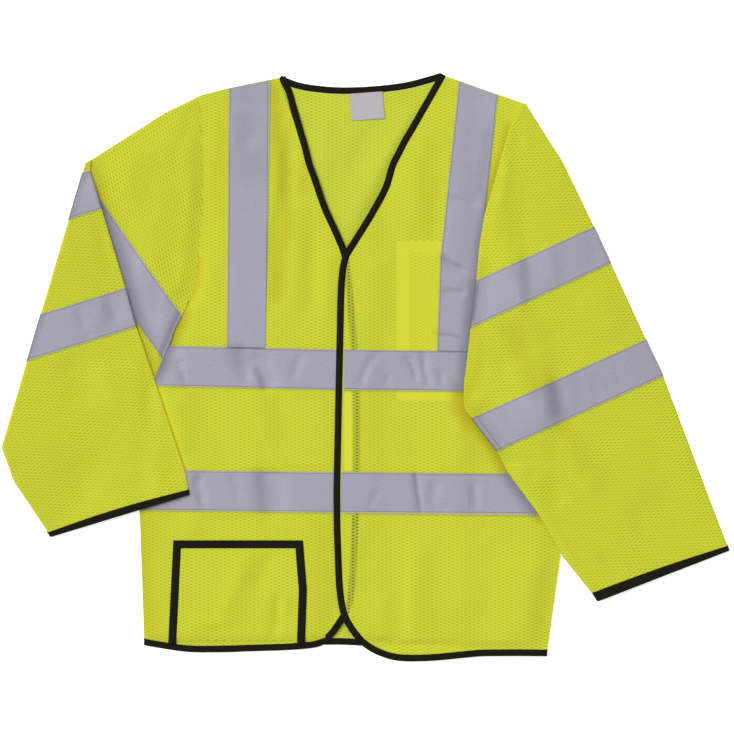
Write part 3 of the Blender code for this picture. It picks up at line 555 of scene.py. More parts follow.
def even(line, count):
    """Points at even distances along a line, with its two ends."""
    lengths = [0.0]
    for start, end in zip(line, line[1:]):
        lengths.append(lengths[-1] + math.dist(start, end))
    found = []
    k = 0
    for i in range(count + 1):
        wanted = lengths[-1] * i / count
        while k < len(line) - 2 and lengths[k + 1] < wanted:
            k += 1
        share = (wanted - lengths[k]) / max(lengths[k + 1] - lengths[k], 1e-9)
        found.append(tuple(Vector(line[k]).lerp(Vector(line[k + 1]), min(share, 1.0))))
    return found


def line_length(line):
    return sum(math.dist(start, end) for start, end in zip(line, line[1:]))


def beside(line, distance):
    """An open line moved sideways, to the left of the way that it runs."""
    moved = []
    for i, spot in enumerate(line):
        here = Vector(spot)
        came = (here - Vector(line[i - 1])).normalized() if i else None
        goes = (Vector(line[i + 1]) - here).normalized() if i < len(line) - 1 else came
        came = came or goes
        left = Vector((-came.y - goes.y, came.x + goes.x)) / max(1.0 + came.dot(goes), 0.2)
        moved.append(tuple(here + left * distance))
    return moved


def off_line(points, x, y):
    """How far a point is from an open line."""
    nearest = math.inf
    for (x0, y0), (x1, y1) in zip(points, points[1:]):
        dx = x1 - x0
        dy = y1 - y0
        share = min(max(((x - x0) * dx + (y - y0) * dy) / (dx * dx + dy * dy), 0.0), 1.0)
        nearest = min(nearest, math.hypot(x - x0 - dx * share, y - y0 - dy * share))
    return nearest


def left_of(start, end, x, y):
    """How far a point lies to the left of the line from start to end."""
    dx = end[0] - start[0]
    dy = end[1] - start[1]
    return (dx * (y - start[1]) - dy * (x - start[0])) / math.hypot(dx, dy)


def ramp(value, start, end):
    """0 before start, 1 after end, and a soft slope between them."""
    share = min(max((value - start) / (end - start), 0.0), 1.0)
    return share * share * (3.0 - 2.0 * share)


print("helpers ready")

# %% [markdown]
# ## Where each layer lies
#
# The shirt is a stack of cloth. Counted from the table come the back's tapes, the back, the right
# front, the left front over it, their tapes, and the sleeves. The steps below are those of the
# solids, so that each shell lies in its own solid.
#
# Cloth that has been folded in a bag keeps soft creases. Each crease is a row in a table: the line
# that it follows, how wide it is on either side of that line, and how high it stands, or how deep
# it sinks if that number is negative. A crease with one steep side and one gentle side is how a
# real one lies. A slow noise adds the waves that no cloth lies without.

# %% The fronts' relief
CLOTH = 1.0
LAYER = 1.3
FRONT_TOP = 2 * LAYER + CLOTH
BACK_TOP = LAYER + CLOTH
TUBE = 2 * LAYER + CLOTH

# Columns: the line that it follows, its width to the left and right of that line, its height.
BODY_CREASES = (
    # the right front, from the shoulder to the chest tape
    (((-205, 300), (-208, 262), (-209, 226)), 7, 9, 2.2),
    (((-196, 350), (-188, 318), (-183, 280)), 9, 12, -1.2),
    (((-165, 340), (-150, 310), (-168, 282)), 12, 14, -0.8),
    (((-112, 350), (-104, 300), (-100, 260), (-112, 205), (-120, 160),
      (-122, 95)), 11, 7, -2.4),
    (((-108, 335), (-106, 300), (-108, 270)), 6, 8, 1),
    (((-90, 250), (-92, 180), (-98, 100), (-102, 50)), 16, 18, 1.2),
    (((-70, 200), (-71, 130), (-74, 60)), 12, 10, -1.2),
    (((-52, 160), (-50, 110), (-54, 45)), 12, 14, 1.3),
    (((-195, 150), (-190, 110), (-190, 60)), 16, 10, -0.7),
    # the right front's chest tape and what is below it
    (((-166, 34), (-160, 6), (-156, -26)), 9, 14, -1.6),
    (((-156, 22), (-140, 2), (-132, -16), (-129, -42)), 13, 8, -2.6),
    (((-244, 14), (-247, 0), (-238, -26)), 6, 5, -1),
    (((-82, 22), (-92, 4), (-98, -20)), 7, 5, -0.8),
    (((-252, -30), (-246, -70), (-232, -120)), 12, 14, 1.6),
    (((-232, -24), (-208, -70), (-182, -110), (-165, -138)), 16, 16, -1.6),
    (((-165, -24), (-142, -62), (-124, -105)), 15, 15, 1.4),
    (((-128, -30), (-108, -60), (-92, -92)), 12, 12, -0.9),
    # the right front's waist tape
    (((-222, -136), (-224, -160), (-213, -188)), 8, 5, -1.6),
    (((-130, -126), (-128, -160), (-125, -206)), 20, 13, -2.4),
    (((-182, -140), (-172, -156), (-160, -186)), 8, 6, -0.7),
    # below the waist, and the patch pocket
    (((-290, -215), (-290, -290), (-288, -362)), 12, 9, -1),
    (((-220, -195), (-232, -212), (-226, -228)), 14, 14, 1),
    (((-162, -236), (-166, -272), (-182, -312), (-205, -334)), 13, 12, 1.7),
    (((-122, -236), (-134, -272), (-152, -306)), 10, 14, -1.6),
    (((-238, -336), (-200, -336), (-165, -328)), 6, 10, 1.1),
    (((-212, -352), (-196, -346), (-180, -350)), 7, 7, -0.8),
    (((-116, -296), (-118, -325), (-125, -366)), 8, 4, -1.8),
    (((-107, -296), (-106, -315), (-110, -330)), 6, 8, 0.9),
    (((-60, -240), (-56, -290), (-62, -350)), 12, 12, 0.7),
    # the left front, from the shoulder to the chest tape
    (((88, 330), (66, 270), (62, 210), (66, 170)), 14, 18, 1.4),
    (((44, 285), (30, 240), (14, 200)), 9, 12, -1.1),
    (((100, 260), (90, 210), (92, 150)), 14, 8, -1.1),
    (((18, 160), (14, 110), (18, 50)), 16, 20, 1),
    (((100, 224), (128, 218), (152, 212)), 5, 5, -1),
    (((100, 148), (112, 136), (138, 127)), 4, 6, -1.6),
    (((98, 101), (116, 100), (136, 98)), 4, 5, -1.3),
    (((90, 45), (112, 42), (140, 36)), 3.5, 3.5, -0.7),
    # the left front's chest tape and what is below it
    (((24, 22), (6, 8), (-5, -14), (-8, -28)), 5, 5, -1),
    (((44, 16), (58, 8), (64, -6), (67, -24)), 6, 4, -1.5),
    (((76, 28), (77, -2), (85, -32)), 5, 5, -1.4),
    (((34, -8), (28, -16), (26, -26)), 4, 4, -0.6),
    (((98, 0), (99, -14), (102, -26)), 5, 4, -0.8),
    (((60, -60), (64, -100), (70, -140)), 18, 14, -0.8),
    (((112, -70), (122, -100), (136, -134)), 18, 14, 1.4),
    # the left front's waist tape
    (((66, -130), (68, -166), (73, -206)), 4, 6, -1),
    (((96, -142), (88, -164), (90, -190)), 9, 7, -0.9),
    (((142, -146), (143, -168), (146, -190)), 6, 5, -1),
    (((22, -158), (10, -172), (2, -190)), 5, 5, -0.7),
    (((112, -182), (98, -190), (84, -186)), 5, 5, -0.6),
    # below the left front's waist tape
    (((64, -198), (62, -260), (61, -320), (60, -390)), 27, 9, 2.1),
    (((20, -290), (20, -330), (24, -376)), 12, 7, 1.1),
    (((150, -206), (140, -270), (128, -350)), 26, 30, 1.3),
    (((216, -240), (209, -300), (204, -380)), 24, 44, 3.2),
    (((6, -205), (2, -260), (-2, -320)), 12, 12, -0.8),
)


def crease_height(rows, x, y):
    """What a table of creases adds at a point. Each fades out towards the ends of its line."""
    height = 0.0
    for line, left_width, right_width, rise in rows:
        margin = 2.5 * max(left_width, right_width)
        if not min(line[0][0], line[-1][0]) - margin - 40.0 < x < \
                max(line[0][0], line[-1][0]) + margin + 40.0:
            continue
        if not min(line[0][1], line[-1][1]) - margin < y < max(line[0][1], line[-1][1]) + margin:
            continue
        nearest = math.inf
        for k, ((x0, y0), (x1, y1)) in enumerate(zip(line, line[1:])):
            dx = x1 - x0
            dy = y1 - y0
            share = ((x - x0) * dx + (y - y0) * dy) / (dx * dx + dy * dy)
            share = min(max(share, 0.0), 1.0)
            away_x = x - x0 - dx * share
            away_y = y - y0 - dy * share
            away = math.hypot(away_x, away_y)
            if away < nearest:
                nearest = away
                run = (k + share) / (len(line) - 1)
                left = dx * away_y - dy * away_x > 0.0
        width = left_width if left else right_width
        if nearest < 2.5 * width:
            ends = ramp(run, 0.0, 0.3) * ramp(1.0 - run, 0.0, 0.3)
            height += rise * ends * math.exp(-(nearest / width) ** 2)
    return height


def waves(x, y, size, seed):
    """A slow noise between about -0.5 and 0.5."""
    return noise.noise(Vector((x / size, y / size, seed))) + 0.4 * noise.noise(
        Vector((x / size * 2.3, y / size * 2.3, seed + 5.0)))


BACK_OUTLINE = outline("back_panel")
RIGHT_OUTLINE = outline("front_right")
LEFT_OUTLINE = outline("front_left")

# The back's creases in the neck.
NECK_CREASES = (
    (((84, 350), (46, 300), (18, 255), (-6, 215), (-26, 165)), 9, 16, 2),
    (((6, 322), (-8, 285), (-22, 250)), 14, 8, -1.2),
    (((-58, 320), (-56, 285), (-48, 255)), 12, 12, 1.2),
)


def reach(corners, y):
    """How far an outline goes to either side at a height: its least and greatest x."""
    found = []
    for (x0, y0), (x1, y1) in zip(corners, corners[1:] + corners[:1]):
        if min(y0, y1) <= y < max(y0, y1):
            found.append(x0 + (x1 - x0) * (y - y0) / (y1 - y0))
    return (min(found), max(found)) if found else (-math.inf, math.inf)


def back_top(x, y):
    """The back's upper face. It has relief only where the neck leaves it bare."""
    _, low = reach(RIGHT_OUTLINE, y)
    high, _ = reach(LEFT_OUTLINE, y)
    bare = ramp(x - low, 2.0, 20.0) * ramp(high - x, 2.0, 20.0) * (1.0 - ramp(y, 330.0, 352.0))
    return BACK_TOP + max(0.9 + crease_height(NECK_CREASES, x, y), 0.0) * bare


def body_relief(x, y):
    """How far the fronts stand off the back beyond one layer, in millimetres. None at the seams."""
    low, high = reach(BACK_OUTLINE, y)
    seams = ramp(x - low, 0.0, 30.0) * ramp(high - x, 0.0, 30.0) * (1.0 - ramp(y, 325.0, 355.0))
    if seams <= 0.0:
        return 0.0
    soft = 2.2 + 0.3 * waves(x, y, 75.0, 2.0) + 1.2 * crease_height(BODY_CREASES, x, y)
    soft = soft if soft > 0.6 else 0.6 * math.exp((soft - 0.6) / 0.9)
    return soft * seams


def front_climb(x):
    """How far the left front stands over the right one's level, at the lap and over the pocket."""
    rows = ((0.0, 2 * LAYER), (30.0, LAYER), (120.0, LAYER), (150.0, 0.0))
    climb = rows[0][1]
    for (x0, h0), (x1, h1) in zip(rows, rows[1:]):
        if x >= x0:
            climb = h0 + (h1 - h0) * ramp(x, x0, x1)
    return climb


def right_front_top(x, y):
    return FRONT_TOP + body_relief(x, y)


def left_front_top(x, y):
    return FRONT_TOP + front_climb(x) + body_relief(x, y)


print("the front stands", round(right_front_top(-100.0, 0.0), 2), "mm over the table")

# %% [markdown]
# ## Where the sleeves lie
#
# Both sleeves lie partly on the fronts. These are the edges of each, from the shoulder to the
# cuff: the outer and inner edge of the left one, and the upper arm and folded-over end of the
# right one. Close to them a warm shade, or a warm light from the sleeve's side, is painted into
# the cloth below. Sharp creases that run the way of the light get a painted shade too, since no
# side of theirs turns away from it, and so do a few broad patches of the body.

# %% Sleeve edges
LEFT_OUTER = ((210.7, 347.0), (258.7, 271.3), (301.0, 184.1), (369.6, 35.6), (391.4, -10.6),
              (479.2, -242.4))
LEFT_INNER = (
    (203.3, 340.6), (188.8, 314.2), (176.9, 273.2), (166.3, 235.0), (155.8, 200.0), (149.2, 159.1),
    (145.2, 112.2), (137.3, 47.5), (128.9, -25.0), (130.0, -54.1), (141.1, -69.7), (172.4, -111.1),
    (187.4, -139.9), (227.0, -194.0), (258.3, -248.6), (305.8, -309.1),
)
CREASE_TOP = (-370.3, 268.6)
CREASE_FOOT = (-480.6, -106.0)
UNDERARM = (-281.2, -10.6)
ARMHOLE = ((-218.6, 358.5), (-215.5, 281.2), (-214.9, 217.8), (-222.1, 139.9), (-228.0, 100.3),
           (-247.6, 71.3))
ARM_UPPER = ((-218.6, 358.5), (-265.3, 335.3))
ARM_LOWER = ((-247.6, 71.3), (-269.3, 18.5), (-271.9, 1.3), (-281.2, -10.6))
CUFF_INNER = (
    (-363.5, 257.9), (-349.4, 211.5), (-316.9, 103.0), (-303.2, 53.5), (-281.2, -10.6),
    (-261.4, -70.0), (-238.9, -138.1), (-233.0, -168.6),
)
CUFF_OUTER = ((-464.4, -150.5), (-415.8, -224.4))
# Painted shade. Columns: a line, how far the shade reaches from it, and how strong it is on it.
PAINTED_SHADES = (
    (LEFT_INNER[6:14], 18, 0.62),
    (LEFT_INNER[8:11], 27, 0.62),
    (LEFT_INNER[2:7], 12, 0.5),
    (LEFT_INNER[1:4], 13, 0.45),
    (ARM_LOWER, 24, 0.75),
    (ARMHOLE[3:], 12, 0.4),
    (((99, 145), (124, 132), (142, 127)), 5, 0.25),
    (((96, 100), (140, 99)), 4, 0.15),
    (((90, 44), (112, 42), (136, 37)), 3.2, 0.4),
    (((-121, 366), (-119, 310), (-112, 270), (-106, 222), (-104, 186),
      (-115, 150), (-120, 95)), 16, 0.32),
    (((-78, 296), (-84, 236)), 16, 0.2),
    (((160, 305), (152, 235)), 13, 0.16),
    (((-60, -215), (-62, -370)), 28, 0.12),
    (((-160, 366), (-160, 270)), 60, 0.13),
    (((-198, 290), (-197, 200)), 18, 0.12),
    (((-288, -195), (-284, -368)), 28, 0.17),
    (((-172, 22), (-168, 8)), 22, 0.2),
    (((-164, -4), (-162, -24)), 12, 0.12),
    (((-144, -4), (-139, -14), (-136, -26)), 9, 0.28),
    (((-243, -8), (-240, -26)), 6, 0.2),
    (((-222, -144), (-220, -172), (-216, -186)), 6, 0.2),
    (((-144, -142), (-138, -160), (-134, -190)), 18, 0.2),
    (((63, -142), (67, -166), (71, -190)), 5.5, 0.45),
    (((136, -160), (137, -188)), 5, 0.15),
    (((-299.5, -186), (-293.5, -368)), 4, 0.5),
)
# Painted warm light, in the same columns.
PAINTED_GLOWS = (
    (CUFF_INNER[4:8], 10, 0.6),
    (LEFT_INNER[8:11], 34, 0.35),
    (LEFT_INNER[:3], 14, 0.4),
    (ARMHOLE[3:], 22, 0.5),
)


def closeness(rows, x, y):
    """1 or less on the nearest of some lines, and 0 beyond its reach."""
    return max(strength * (1.0 - ramp(off_line(line, x, y), 0.0, width))
               for line, width, strength in rows)


print(len(LEFT_INNER) + len(CUFF_INNER), "points on the sleeves' inner edges")

# %% [markdown]
# ## From a bmesh to a piece
#
# Every piece ends the same way: its mesh is scaled to metres, shaded smooth with its cut edges
# sharp, given a wall by a Solidify modifier, which grows downwards from the outer face, and tied
# to the frame. It rides on the one body, takes the place of its solid, and gets its material.

# %% Making an object
COUNT = {"pieces": 0, "faces": 0}


def make_piece(name, mesh, material, nodes, wall=0.0):
    """Turns a bmesh in millimetres into a finished piece."""
    bmesh.ops.scale(mesh, vec=(MM, MM, MM), verts=mesh.verts[:])
    for face in mesh.faces:
        face.smooth = True
    for edge in mesh.edges:
        if edge.is_boundary:
            edge.smooth = False
    data = bpy.data.meshes.new(name)
    mesh.to_mesh(data)
    mesh.free()
    data.materials.append(material)
    made = bpy.data.objects.new(name, data)
    bpy.context.scene.collection.objects.link(made)
    if wall:
        skin = made.modifiers.new("wall", "SOLIDIFY")
        skin.thickness = wall * MM
        skin.offset = -1.0
    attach(made, "root")
    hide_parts(*nodes)
    COUNT["pieces"] += 1
    COUNT["faces"] += len(data.polygons) * (2 if wall else 1)
    return made


def lay_uv(mesh, place):
    """Writes the cloth map: place gives a corner's u and v in millimetres from its x and y."""
    layer = mesh.loops.layers.uv.new("cloth")
    for face in mesh.faces:
        for loop in face.loops:
            u, v = place(loop.vert.co.x, loop.vert.co.y)
            loop[layer].uv = (u * MM, v * MM)


def turned(degrees, origin=(0.0, 0.0)):
    """A cloth map whose u runs this many degrees from +X."""
    along = math.cos(math.radians(degrees))
    up = math.sin(math.radians(degrees))

    def place(x, y):
        x -= origin[0]
        y -= origin[1]
        return x * along + y * up, y * along - x * up
    return place


print("ready to make pieces")

# %% [markdown]
# ## Flat panels
#
# A panel could be a grid with the waste cut off, but a grid leaves a stepped edge. Here the cut
# outline comes first, as one face, and parallel knives then cut it into small squares: the edge
# stays exact, and the inside gets enough corners to bend. Each knife only has to cut what lies
# ahead of it, which keeps hundreds of cuts quick. A front's edge goes a little further in under
# its binding than the solid's does, because the finished binding is narrower.

# %% Panels
PANEL_GRID = 4.5
WALL = 0.8
LET_UNDER = 4.2
COVERED = 6.0
POCKET_HEM = {"left": 16.0, "top": 13.0, "foot": 13.0}


def panel(corners, spacing, height):
    """A sheet of small faces within an outline, each corner lifted to its height."""
    mesh = bmesh.new()
    mesh.faces.new([mesh.verts.new((x, y, 0.0)) for x, y in corners])
    for axis in (0, 1):
        low = min(corner[axis] for corner in corners)
        high = max(corner[axis] for corner in corners)
        ahead = mesh.verts[:] + mesh.edges[:] + mesh.faces[:]
        for k in range(math.floor(low / spacing) + 1, math.ceil(high / spacing)):
            knife = Vector((0.0, 0.0, 0.0))
            knife[axis] = k * spacing
            normal = Vector((1.0 - axis, axis, 0.0))
            cut = bmesh.ops.bisect_plane(mesh, geom=ahead, dist=0.001, plane_co=knife,
                                         plane_no=normal)
            ahead = []
            for item in cut["geom"]:
                ends = [item] if isinstance(item, bmesh.types.BMVert) else item.verts
                if all(vert.co[axis] > k * spacing - 0.01 for vert in ends):
                    ahead.append(item)
    for vert in mesh.verts:
        vert.co.z = height(vert.co.x, vert.co.y)
    bmesh.ops.recalc_face_normals(mesh, faces=mesh.faces[:])
    if mesh.faces[0].normal.z < 0:
        bmesh.ops.reverse_faces(mesh, faces=mesh.faces[:])
    return mesh


def keep(mesh, name, value):
    """Keeps a number on each corner, worked out from its x and y, for a material to read."""
    layer = mesh.verts.layers.float.new(name)
    for vert in mesh.verts:
        vert[layer] = value(vert.co.x, vert.co.y)


def off_box(node, left=0.0, top=0.0, foot=0.0):
    """How far outside a solid's box a point is, in metres, negative inside it. The box can be drawn
    in."""
    low, high = (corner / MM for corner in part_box(node))

    def distance(x, y):
        return max(low.x + left - x, x - high.x, low.y + foot - y, y - high.y + top) * MM
    return distance


def keep_painted_shade_and_glow(mesh):
    """Keeps how much painted shade and painted warm light a piece gets, by sleeves and creases."""
    for name, rows in (("shade", PAINTED_SHADES), ("glow", PAINTED_GLOWS)):
        keep(mesh, name, lambda x, y: closeness(rows, x, y))


def turning(corners):
    """Twice the area of an outline: positive if its corners run anticlockwise."""
    return sum(x0 * y1 - x1 * y0 for (x0, y0), (x1, y1) in zip(corners, corners[1:] + corners[:1]))


def let_under(corners, node):
    """An outline let out where a binding covers its edge, so that no gap shows between them."""
    ring = corners[-1:] + corners + corners[:1]
    moved = beside(ring, -math.copysign(LET_UNDER, turning(corners)))
    band = outline(node)
    covered = [off_line(band + band[:1], x, y) < COVERED for x, y in ring]
    return [moved[k] if all(covered[k - 1:k + 2]) else ring[k] for k in range(1, len(ring) - 1)]


back = panel(BACK_OUTLINE, PANEL_GRID, back_top)
lay_uv(back, turned(0.0))
BACK = make_piece("back_cloth", back, INSIDE_MESH, ["back_panel"], WALL)

right = panel(let_under(RIGHT_OUTLINE, "binding_front_right"), PANEL_GRID, right_front_top)
lay_uv(right, turned(0.0))
keep_painted_shade_and_glow(right)
RIGHT_FRONT = make_piece("right_front_cloth", right, BODY_MESH, ["front_right"],
                         WALL)

left = panel(let_under(LEFT_OUTLINE, "binding_front_left"), PANEL_GRID, left_front_top)
lay_uv(left, turned(0.0))
keep_painted_shade_and_glow(left)
under_edge, under_inner = long_sides(outline("binding_front_right"))
under_path = [tuple(Vector(a).lerp(Vector(b), 0.5)) for a, b in zip(under_edge, under_inner)]
keep(left, "from_binding", lambda x, y: off_line(under_path, x, y) * MM)
keep(left, "from_strip", off_box("closure_strip"))
keep(left, "from_pocket", off_box("chest_pocket"))
keep(left, "from_pocket_middle", off_box("chest_pocket", **POCKET_HEM))
LEFT_FRONT = make_piece("left_front_cloth", left, FRONT_MESH, ["front_left"], WALL)

bag = panel(outline("chest_pocket"), PANEL_GRID, right_front_top)
lay_uv(bag, turned(0.0))
POCKET_BAG = make_piece("chest_pocket_bag", bag, BODY_MESH, ["chest_pocket"], WALL)
print(COUNT)

# %% [markdown]
# ## Tapes on the panels
#
# Each tape is a strip cut from its own outline, in smaller squares than the cloth below it, and it
# takes that cloth's height plus its own thickness. So it follows every crease, as a sewn tape
# does. Its map has v across it, from one long edge, because its stitches follow that edge. The
# cloth of the tape goes on beyond its stitches as a narrow fringe, on the sleeves too. The foot of
# each shoulder tape goes a few millimetres in under the chest tape.

# %% Flat tapes
TAPE_GRID = 2.4
TAPE_WALL = 0.6
FRINGE = 1.8
ON_CLOTH = 0.8
OVER_BRACE = 0.35
UNDER_CHEST_TAPE = 5.0


def let_out(node, aside, further):
    """A strip's outline with both long sides moved out, and its lower end moved on."""
    first, second = long_sides(outline(node))
    out = math.copysign(aside, left_of(first[0], first[-1], *second[0]))
    sides = []
    for line, distance in ((first, -out), (second, out)):
        line = [Vector(spot) for spot in beside(line, distance)]
        end, before = (0, 1) if line[0].y < line[-1].y else (-1, -2)
        line[end] += (line[end] - line[before]).normalized() * further
        sides.append([tuple(spot) for spot in line])
    return sides


def tape(node, height, further=0.0, brace_x=math.inf):
    """A tape in its solid's outline, over a surface. brace_x is the middle of a shoulder tape whose
    foot it covers."""
    low_side, high_side = let_out(node, FRINGE, further)
    mesh = panel(low_side + high_side[::-1], TAPE_GRID, height)
    start = Vector(low_side[0])
    along = (Vector(low_side[-1]) - start).normalized()
    lay_uv(mesh, lambda x, y: ((Vector((x, y)) - start).dot(along),
                               off_line(low_side, x, y) - FRINGE))
    keep_painted_shade_and_glow(mesh)
    keep(mesh, "on_tape", lambda x, y: float(y > 0.0) * (1.0 - ramp(abs(x - brace_x), 24.5, 26.0)))
    return make_piece(node + "_film", mesh, TAPE_FILM, [node], TAPE_WALL)


def on_right(x, y):
    return right_front_top(x, y) + ON_CLOTH


def on_left(x, y):
    return left_front_top(x, y) + ON_CLOTH


def below_back(x, y):
    return CLOTH


TAPES = {"brace_right": tape("brace_right", on_right, UNDER_CHEST_TAPE),
         "brace_left": tape("brace_left", on_left, UNDER_CHEST_TAPE)}
for side_name, surface in (("right", on_right), ("left", on_left)):
    brace_foot = sum(reach(outline("brace_" + side_name), 50.0)) / 2
    for node, brace_x in (("chest_tape_" + side_name, brace_foot),
                          ("waist_tape_" + side_name, math.inf)):
        TAPES[node] = tape(node, lambda x, y: surface(x, y) + OVER_BRACE, brace_x=brace_x)
for node in ("back_brace_right", "back_brace_left", "back_chest_tape", "back_waist_tape"):
    TAPES[node] = tape(node, below_back)
print(COUNT)

# %% [markdown]
# ## The pocket patch, the label and the closure strip
#
# These three are small flat pieces. The patch pocket lies on the right front. The label is sewn
# into the neck, and its lower corners lift a little. The hook-and-loop strip is stitched to the
# right front, under the left one.

# %% Small flat pieces
patch = panel(outline("pocket_patch"), 4.0, on_right)
lay_uv(patch, turned(0.0, (1.5, 2.0)))
PATCH = make_piece("pocket_patch_cloth", patch, BODY_MESH, ["pocket_patch"], 0.6)

LABEL_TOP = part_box("neck_label")[1].y / MM


def label_height(x, y):
    lifted = 0.6 * ramp(LABEL_TOP - y, 10.0, 38.0) + 0.3 * math.sin(x / 9.0)
    return back_top(x, y) + 0.9 + lifted


label = panel(outline("neck_label"), 2.0, label_height)
lay_uv(label, turned(4.0))
LABEL = make_piece("neck_label_satin", label, SATIN, ["neck_label"], 0.4)

strip = panel(outline("closure_strip"), 3.0, on_right)
lay_uv(strip, turned(0.0))
STRIP = make_piece("closure_strip_nap", strip, NAP, ["closure_strip"], 0.7)
print(COUNT)

# %% [markdown]
# ## Bindings
#
# A bias binding is folded round the cut edge and sewn through: a flat, rounded band. It could be a
# bevelled curve, but a curve twists at tight bends. A grid rolled round the edge's own line keeps
# its flat side up all the way. The line comes from the solid: it is the middle of its two long
# sides. The solid is made of straight stretches, so the line is worn round, and in the neck and
# above the hem a soft bow brings back what that takes off.

# %% Swept bindings
def swept(path, width, thickness, height, turns=12):
    """A flat, rounded band along a path, its ends closed."""
    mesh = bmesh.new()
    bmesh.ops.create_grid(mesh, x_segments=turns, y_segments=len(path) - 1, size=1.0)
    layer = mesh.loops.layers.uv.new("cloth")
    runs = [0.0]
    for start, end in zip(path, path[1:]):
        runs.append(runs[-1] + math.dist(start, end))
    edges = {share: beside(path, share * width / 2) for share in (-1.0, 1.0)}
    places = {}
    for vert in mesh.verts:
        i = round((vert.co.x + 1.0) / 2.0 * turns)
        j = round((vert.co.y + 1.0) / 2.0 * (len(path) - 1))
        angle = 2 * math.pi * i / turns
        side = math.copysign(abs(math.cos(angle)) ** 0.6, math.cos(angle))
        rise = math.copysign(abs(math.sin(angle)) ** 0.8, math.sin(angle))
        spot = Vector(edges[-1.0][j]).lerp(Vector(edges[1.0][j]), (side + 1.0) / 2.0)
        places[vert] = (spot.x, spot.y, height(*path[j]) + rise * thickness / 2, i, j)
    for face in mesh.faces:
        for loop in face.loops:
            _, _, _, i, j = places[loop.vert]
            loop[layer].uv = (runs[j] * MM, 2.2 * width * i / turns * MM)
    for vert, (x, y, z, _, _) in places.items():
        vert.co = (x, y, z)
    bmesh.ops.remove_doubles(mesh, verts=mesh.verts[:], dist=0.001)
    bmesh.ops.holes_fill(mesh, edges=[edge for edge in mesh.edges if edge.is_boundary])
    bmesh.ops.recalc_face_normals(mesh, faces=mesh.faces[:])
    return mesh


def eased(line, rounds):
    """A line with its corners worn round: each inner point moves towards its two neighbours."""
    for _ in range(rounds):
        line = [line[0]] + [
            tuple((Vector(before) + 2 * Vector(spot) + Vector(after)) / 4)
            for before, spot, after in zip(line, line[1:], line[2:])] + [line[-1]]
    return line


def binding(node, height, width=9.0, thickness=1.8, curved=True, bow=(0.0,) * 5, further=0.0):
    """A binding on its solid's line. bow moves a part of it to the right: how far, the heights
    where it starts and is full, and where it fades and ends. further takes both ends on."""
    first, second = long_sides(outline(node))
    middle = [tuple(Vector(a).lerp(Vector(b), 0.5)) for a, b in zip(first, second)]
    path = eased(smooth_line(middle, 30.0, 4), 3) if curved else split_spans(middle, 5.0)
    far, start, full, fades, ends = bow
    path = [(x + far * ramp(y, start, full) * (1.0 - ramp(y, fades, ends)), y) if far else (x, y)
            for x, y in path]
    for end, before in ((0, 1), (-1, -2)):
        onward = (Vector(path[end]) - Vector(path[before])).normalized() * further
        path[end] = tuple(Vector(path[end]) + onward)
    mesh = swept(path, width, thickness, height)
    return make_piece(node + "_bias", mesh, BIAS_TWILL, [node])


BINDINGS = {
    "back_neck": binding("binding_back_neck", lambda x, y: BACK_TOP - 0.3),
    "back_hem": binding("binding_back_hem", lambda x, y: BACK_TOP - 0.3),
    "front_right": binding("binding_front_right", lambda x, y: right_front_top(x, y) + 0.25, 8.8,
                           bow=(3.2, 262.0, 300.0, 362.0, 380.0)),
    "front_left": binding("binding_front_left", lambda x, y: left_front_top(x, y) + 0.25,
                          bow=(1.8, 145.0, 165.0, 280.0, 300.0)),
    "pocket": binding("pocket_binding", lambda x, y: on_right(x, y) - 0.1, 10.5, 1.6, curved=False,
                      further=6.0),
}
print(COUNT)

# %% [markdown]
# ## A sleeve is a flattened tube
#
# A sleeve could be two sheets with a gap, but then its folded edges would be open. Here it is one
# grid, rolled up: rows run across the sleeve from one folded edge to the other and back on the
# other wall. At each edge the two walls meet in a small round nose. The same rows, let out by the
# thickness of a tape, also make the tapes and the cuff binding that go round the sleeve, so they
# take every crease that the sleeve has. A folded edge that faces the lamp gets a painted shade,
# darker than the lamp leaves it. On the far side the folded-over end's edge gets a painted glow:
# an emission that stands in for light coming through its one layer of cloth.

# %% Tubes
NOSE_STEPS = 3
NOSE = 2.5
SLEEVE_WALL = 0.7
ON_CUFF = 0.7
CUFF_WALL = 1.5


def between(line, start, end):
    """The stretch of a line between the corners nearest to two spots."""
    first = min(range(len(line)), key=lambda i: math.dist(line[i], start))
    last = min(range(len(line)), key=lambda i: math.dist(line[i], end))
    return line[first:last + 1]


def paired(one_edge, other_edge, stops, spacing):
    """Rows across a sleeve: matching points on its two edges, even from each stop to the next."""
    rows = []
    for (one_from, other_from), (one_to, other_to) in zip(stops, stops[1:]):
        one = between(one_edge, one_from, one_to)
        other = between(other_edge, other_from, other_to)
        count = max(round(max(line_length(one), line_length(other)) / spacing), 1)
        rows += list(zip(even(one, count), even(other, count)))[:-1]
    return rows + [stops[-1]]


def across(i, steps, width, nose):
    """Where a column lies on its row: which wall, how far over, and how far off the middle."""
    wall = 1.0 if i <= steps else -1.0
    k = i if i <= steps else 2 * steps - i
    from_edge = min(k, steps - k)
    if from_edge >= NOSE_STEPS:
        over = nose + (width - 2 * nose) * (k - NOSE_STEPS) / (steps - 2 * NOSE_STEPS)
        return wall, over / width, 1.0
    angle = math.radians(90.0) * from_edge / NOSE_STEPS
    inset = nose * (1.0 - math.cos(angle))
    over = inset if k < steps / 2 else width - inset
    return wall, over / width, math.sin(angle)


